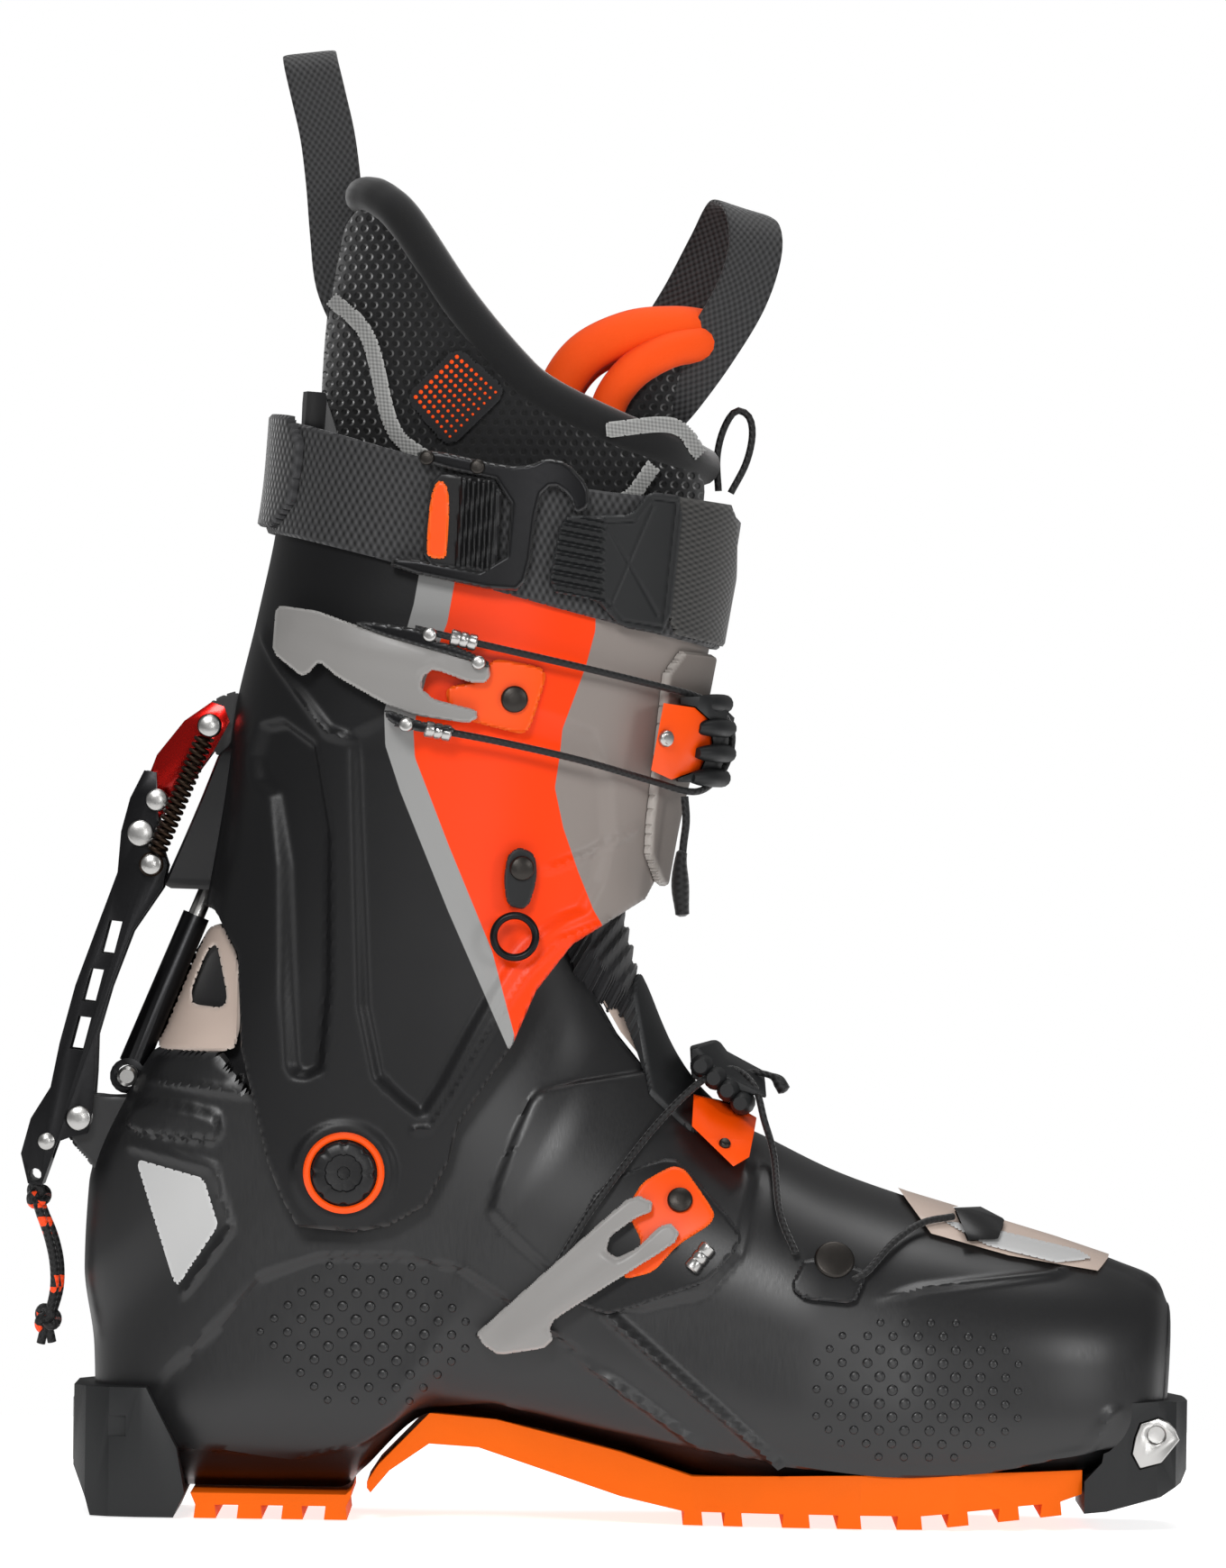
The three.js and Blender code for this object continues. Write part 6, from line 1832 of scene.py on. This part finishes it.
# ---------------------------------------------------------------- power strap
@dataclass
class PowerStrap:
    """Webbing round the top of the cuff with its keeper, hook buckle, cam and rubber tab."""

    low: float = 0.6
    thick: float = 2.1
    band: Outline = ((-16, 298), (-2, 295), (41, 283), (75, 276.5), (135, 271.5), (135, 230),
                     (118, 234.6), (88, 241), (31, 256), (-2, 264), (-16, 266))
    keeper: Outline = ((-14, 267.6), (-10.4, 297), (7, 294.6), (2, 264.4))
    cam: Outline = ((41.8, 280.1), (60.8, 277.9), (59.4, 252.6), (39.3, 255.3))
    hook: Outline = ((37, 284.6), (41, 286), (62, 281.6), (68, 282), (72, 284), (78, 283),
                     (83.6, 277), (84, 271), (80, 269), (78.6, 274), (74, 277), (70.4, 273.6),
                     (68, 252), (64, 247.6), (31, 254), (32, 257.8), (61.4, 252.4),
                     (63.4, 277), (42, 281.4))
    tab: Outline = ((86, 269), (95, 269.4), (99.6, 275.7), (109.2, 274.7), (105.6, 237.4),
                    (92.4, 239.4), (86, 246.4), (73, 248.6), (76.5, 268.6))

    @staticmethod
    def threads(at: Array) -> Array:
        """Millimetres round the leg and up the tape, for the weave."""
        turn = np.arctan2(at[..., 1], at[..., 0] - 58.0)
        return np.stack([turn * 56.0, at[..., 2] + 0.2 * at[..., 0], 0 * turn], -1)

    def webbing(self) -> None:
        """The tape itself, all the way round."""
        v, turn = CUFF.grid(70, 300, first=7.2)
        outer = self.low + self.thick
        piece = Sheet("strap_tape", v, turn, CUFF.place, inside(rounded(self.band, 1)),
                      level(outer), self.low, 0.7, wrap=True,
                      fields={"weave": self.threads}).build()
        finished(piece, STRAP_WEB, Body.CUFF, "power_strap")
        v, turn = patch(CUFF, (7.6, 10.0), (np.pi - 0.75, np.pi + 1.25), 0.8)
        loop = Sheet("strap_keeper_loop", v, turn, CUFF.place,
                     lambda at: np.maximum(np.maximum(
                         inside(rounded(self.keeper, 1))(at), at[..., 1] - 10),
                         -32 - at[..., 1]),
                     level(outer + 2.6), outer + 0.35, 0.8,
                     fields={"weave": self.threads}).build()
        finished(loop, STRAP_WEB, Body.CUFF, "strap_keeper")

    def hardware(self) -> None:
        """Hook frame, ribbed cam with its bright pad, and the ribbed rubber tab."""
        low = self.low + self.thick + 0.35
        finished(plate("strap_hook", CUFF, rounded(self.hook, 1, 0.22), low, low + 3.6, 0.42,
                       1.1), BLACK_ANODISED, Body.CUFF, "strap_buckle_frame")

        def ribs(at: Array) -> Array:
            """Upright ribs on the cam's front half: a cosine along x, cut flat at 0 and 1."""
            lean = at[..., 0] - 0.06 * (at[..., 2] - 265)
            wave = np.clip(0.5 + np.cos((lean - 49.8) * 2 * np.pi / 2.6), 0, 1)
            return 1.2 * wave * ease(-inside(self.cam)(at) / 1.5) * (lean > 48.2)

        finished(plate("strap_cam_block", CUFF, rounded(self.cam, 1, 0.12), low, low + 3.6,
                       0.45, 0.9, shape=ribs), BLACK_NYLON, Body.CAM, "strap_cam")
        pill = ((41.9, 277.6), (46.9, 277.2), (46.3, 258.4), (45.6, 256.6), (41.4, 257),
                (40.6, 259))
        finished(plate("strap_cam_pad", CUFF, rounded(pill, 2), low + 3.4, low + 4.5, 0.45,
                       0.5), ORANGE, Body.CAM)

        def teeth(at: Array) -> Array:
            """Level teeth on the tab's rear half, and sunk stitching on the front half."""
            x, z = at[..., 0], at[..., 2]
            wave = np.clip(np.cos((z + 0.18 * x) * 2 * np.pi / 2.7), 0, 1)
            left = ease((88.5 - x) / 1.4) * ease((x - 72.6) / 1.2)
            hour = np.minimum(line_gap(((89, 243), (101, 272)), x, z),
                              line_gap(((89, 266), (102.4, 243)), x, z))
            seam = np.abs(outline_gap(self.tab, x, z) + 1.9)
            sewn = (np.clip(1 - hour / 0.7, 0, 1) + np.clip(1 - seam / 0.6, 0, 1))
            return 1.2 * wave * left - 0.4 * sewn * (x > 87)

        finished(plate("strap_rubber_plate", CUFF, rounded(self.tab, 1, 0.15), low, low + 2.0,
                       0.4, 0.7, shape=teeth), SOLE_BLACK, Body.CUFF, "strap_rubber_tab")
        for k, (x, z) in enumerate(((40.6, 283.6), (54, 281.4))):
            rivet(f"strap_rivet_{k}", CUFF, (x, z), 2.0, low + 3.6, Body.CUFF)
        panel = ((106.4, 274.6), (124, 272.6), (124, 234.4), (106, 238.2))
        v, turn = patch(CUFF, (7.0, 10.0), (-1.75, 1.75), 0.9)
        piece = Sheet("strap_front_panel", v, turn, CUFF.place,
                      inside(rounded(panel, 1, 0.1)), level(low + 0.9), low - 0.1, 0.4,
                      fields={"weave": self.threads}).build()
        finished(piece, FRONT_WEB, Body.CUFF)

    def lanyard_ring(self) -> None:
        """Small steel ring on a folded tape under a rivet."""
        line = ((63.4, 178.6), (66.6, 180.6), (70.8, 178.6), (71.4, 172), (69, 163.6),
                (63.4, 164.6), (62.4, 172))
        finished(plate("ring_tape", CUFF, rounded(line, 2, 0.2), 0.35, 2.4, 0.4, 0.8),
                 SOLE_BLACK, Body.CUFF, "d_ring_strap")
        rivet("ring_tape_rivet", CUFF, (67.2, 174.8), 3.3, 2.2, Body.CUFF)
        low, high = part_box("d_ring")
        middle = (low + high) / 2 / MM
        path = circle_path(5.6, 48) + np.array(middle)
        finished(sweep("lanyard_ring", path, ring_section(1.05, 10), closed=True),
                 BLACK_ANODISED, Body.RING, "d_ring")

    def build(self) -> None:
        """Make every piece of the strap."""
        self.webbing()
        self.hardware()
        self.lanyard_ring()


# ---------------------------------------------------------------- liner
@dataclass
class Liner:
    """Inner boot: padded collar, binding, tapes, tongue, ankle sleeve, foot and pull loops."""

    wall: float = 9.0
    tongue_low: float = 9.8
    tongue_thick: float = 8.0
    kept: Outline = ((17, 350), (18.6, 355), (25, 355.4), (34, 348), (48, 327), (62.4, 310),
                     (72, 302), (91.2, 292.8), (105.6, 288), (116, 283.4), (140, 270),
                     (140, 150), (-20, 150), (-20, 350))
    rim: Outline = ((114, 283.6), (105.6, 287.2), (91.2, 292), (72, 301), (62.4, 309),
                    (48, 326), (34, 346.6), (28, 352.6), (24.6, 354.4), (22.4, 354.6),
                    (21.3, 354.6))
    label: Outline = ((34, 300), (48, 314), (62, 302), (46, 286))

    def collar(self) -> None:
        """Padded collar: the wall between two offsets, cut along the rim, then swollen."""
        v, turn = LINER.grid(90, 130)
        piece = Sheet("liner_collar", v, turn, LINER.place, inside(self.kept), level(-0.8),
                      -self.wall + 0.8, 2.5, wrap=True).build()
        puffed(piece, 4.5, 3.0, 1.2)
        finished(piece, SPACER, Body.CUFF, "liner_cuff")

    def binding(self) -> None:
        """Smooth rolled binding along the rim, from the outer front round to the inner one."""
        points = np.asarray(self.rim)
        outer = LINER.side(points[:, 0], points[:, 1], np.full(len(points), -4.2), -1.0)
        inner = LINER.side(points[:, 0], points[:, 1], np.full(len(points), -4.2), 1.0)[::-1]
        path = spline(np.concatenate([outer[:-1], [[20.9, 0, 354.8]], inner[1:]]), 220)
        roll = sweep("collar_binding", path, ring_section(5.2, 16), side=(0.65, 0, 0.76))
        finished(roll, SOFT_BLACK, Body.CUFF)

    def tapes(self) -> None:
        """Grey tapes and the smooth patch on the collar's outside."""
        tapes = (((13.6, 327), (24, 316), (31, 292), (41, 283)),
                 ((88, 292), (106, 293.6), (113.6, 286)), ((101, 283), (94, 274), (82, 269)))
        for k, line in enumerate(tapes):
            piece = plate(f"liner_tape_{k}", LINER, strip(line, 2.1), 0.2, 1.3, 0.6, 0.3,
                          fields={"weave": lambda at: np.stack(
                              [at[..., 0] + at[..., 2], at[..., 0] - at[..., 2],
                               0 * at[..., 0]], -1)})
            finished(piece, TRIM_WEB, Body.CUFF)
        finished(plate("liner_patch", LINER, rounded(self.label, 2, 0.12), 0.2, 1.2, 0.7, 0.4),
                 RIB_BLACK, Body.CUFF)

    def patch_dots(self) -> None:
        """Small raised dots on the patch: nine by nine, four rings of eight points each."""
        u, v = (grid.ravel()[:, None] for grid in np.meshgrid(np.linspace(0.12, 0.88, 9),
                                                              np.linspace(0.12, 0.88, 9)))
        corners = np.array(self.label)[:, None]
        spots = ((1 - u) * (1 - v) * corners[0] + u * (1 - v) * corners[1]
                 + u * v * corners[2] + (1 - u) * v * corners[3])
        size, turn = 0.62 - 0.26 * v, np.linspace(0, 2 * np.pi, 8, endpoint=False)
        rings = []
        for share, height in ((1.0, 0.9), (1.0, 1.35), (0.6, 1.5), (0.01, 1.52)):
            x = spots[:, :1] + size * share * np.cos(turn)
            z = spots[:, 1:] + size * share * np.sin(turn)
            rings.append(LINER.side(x, z, np.full(x.shape, height), -1.0))
        points = np.stack(rings, 1).reshape(-1, 3)
        n, i, j = np.meshgrid(np.arange(len(u)) * 32, np.arange(3) * 8, np.arange(8),
                              indexing="ij")
        base = n + i
        quads = np.stack([base + j, base + (j + 1) % 8, base + 8 + (j + 1) % 8,
                          base + 8 + j], -1).reshape(-1, 4)
        finished(make_mesh("liner_patch_dots", points, quads, sharp=60), SOFT_ORANGE, Body.CUFF)

    def tongue(self) -> None:
        """Padded tongue: black inside the shaft, bright lobes above the strap."""
        outline = ((73, 200), (70, 296), (72, 304), (81.6, 314), (96, 319), (110.4, 319),
                   (122, 311), (122, 200))
        v, turn = patch(LINER, (2.0, 9.0), (-1.5, 1.5), 1.6)

        def edge(at: Array) -> Array:
            """Inside the side outline and inside the tongue's width."""
            return np.maximum(inside(rounded(outline, 2))(at), np.abs(at[..., 1]) - 25.4)

        piece = Sheet("tongue_pad", v, turn, LINER.place, edge, level(-self.tongue_low - 0.6),
                      -self.tongue_low - self.tongue_thick + 0.6, 3.0).build()
        puffed(piece, 4.0, 4.0, 1.0)
        finished(piece, SPACER, Body.CUFF, "liner_tongue")
        outer = ((73, -18, 288), (75, -20, 302), (82, -21, 312.6), (94, -20, 318.6),
                 (106, -16, 320), (114, -8, 319.4), (115.6, 0, 319))
        inner = ((88, -23, 288), (88.6, -24, 299), (94.6, -24, 308), (104, -21.5, 314),
                 (112, -16, 316), (117, -8, 316.4), (118.4, 0, 316))
        for name, half, radius in (("back", outer, 5.6), ("front", inner, 4.6)):
            path = half + tuple((x, -y, z) for x, y, z in half[-2::-1])
            girth = 1 + 0.12 * np.sin(np.linspace(0, np.pi, 120))
            roll = sweep(f"tongue_roll_{name}", spline(path, 120), ring_section(radius, 16),
                         scale=girth)
            finished(roll, SOFT_ORANGE, Body.CUFF)

    def ankle(self) -> None:
        """Foot part, the sleeve round the ankle and the ribbed gaiter in the throat."""
        v, turn = SHELL.grid(90, 110, first=1.0, last=20.0)
        pad = ((-60, 31), (20, 31), (62, 38), (115, 22.6), (150, 18), (212, 19), (275, 25),
               (275, 110), (104, 110), (84, 130), (66, 126), (40, 120), (5, 118), (-60, 118))
        foot = Sheet("liner_foot_pad", v, turn, SHELL.place, inside(pad), level(-4.6), -9.8,
                     1.0, wrap=True).build()
        finished(foot, SOFT_BLACK, Body.CLOG, "liner_foot")
        v, turn = SHELL.grid(60, 110, first=16.0)
        sleeve_zone = ((-60, 105), (-60, 172), (150, 172), (150, 105))
        sleeve = Sheet("ankle_sleeve", v, turn, SHELL.place, inside(sleeve_zone),
                       lambda at: -7.4 + 0.3 * np.cos(at[..., 2] * 2 * np.pi / 5.5), -10.4,
                       1.0, wrap=True).build()
        blended(sleeve, RIB_BLACK, ("clog", "cuff"), (0.02, 0, 0.108), (0.02, 0, 0.165))
        gaiter = ((84.5, 154), (86.5, 166), (98.5, 167), (100.5, 152), (104, 137), (109, 129.5),
                  (111, 126.5), (98.6, 138))
        v, turn = patch(SHELL, (8.6, 17.0), (-1.15, 1.15), 0.8)

        def folds(at: Array) -> Array:
            """Wall that leans out as it rises, with a cosine of folds on it."""
            rise = 11.5 * ease((at[..., 2] - 124) / 30)
            return rise + 1.0 * np.cos((at[..., 2] - at[..., 0]) * 2 * np.pi / 5.2) + 0.4

        piece = Sheet("throat_folds", v, turn, SHELL.place,
                      lambda at: np.maximum(inside(gaiter)(at), np.abs(at[..., 1]) - 26),
                      folds, level(-2.0), 0.8).build()
        blended(piece, RIB_BLACK, ("clog", "cuff"), (0.1, 0, 0.128), (0.095, 0, 0.162),
                "throat_gaiter")

    def loops(self) -> None:
        """Two folded loops of wide webbing: behind the collar and on the tongue."""
        half = [(20.5, -8.6, 322), (16.4, -9.6, 332), (14.8, -10.6, 345), (13.6, -11, 358),
                (11.8, -10.8, 371), (9.2, -10, 382), (7.2, -7, 390), (6.6, 0, 393)]
        rear = half + [(x, -y, z) for x, y, z in half[-2::-1]]
        finished(sweep("rear_webbing_loop", spline(rear, 90), band_section(14.5, 1.5),
                       side=(1, 0, 0.12)), LOOP_WEB, Body.CUFF, "rear_pull_loop")
        front = ((101, -14, 296), (107, -17, 303), (115.5, -17.6, 315), (123.6, -17, 329),
                 (127.4, -15.5, 342), (126, -9, 350.6), (121.6, 3, 352.4), (116.6, 11, 343),
                 (110, 15, 330), (103, 16, 318), (97, 14, 306))
        finished(sweep("tongue_webbing_loop", spline(front, 110), band_section(14.5, 1.4),
                       side=(1, 0, -0.3)), LOOP_WEB, Body.CUFF, "tongue_pull_loop")

    def build(self) -> None:
        """Make every piece of the inner boot."""
        self.collar()
        self.binding()
        self.tapes()
        self.patch_dots()
        self.tongue()
        self.ankle()
        self.loops()


def main() -> None:
    """Build the boot in order and report each piece."""
    logging.basicConfig(level=logging.INFO, format="%(message)s")
    studio = Studio()
    studio.camera()
    Cords().build()
    studio.build()
    Clog().build()
    Cuff().build()
    WalkMechanism().build()
    Buckles().build()
    PowerStrap().build()
    Liner().build()
    for node, source in frame["nodes"].items():
        if not source.hide_render:
            log.info("left as it is: %s", node)


if __name__ == "__main__":
    main()
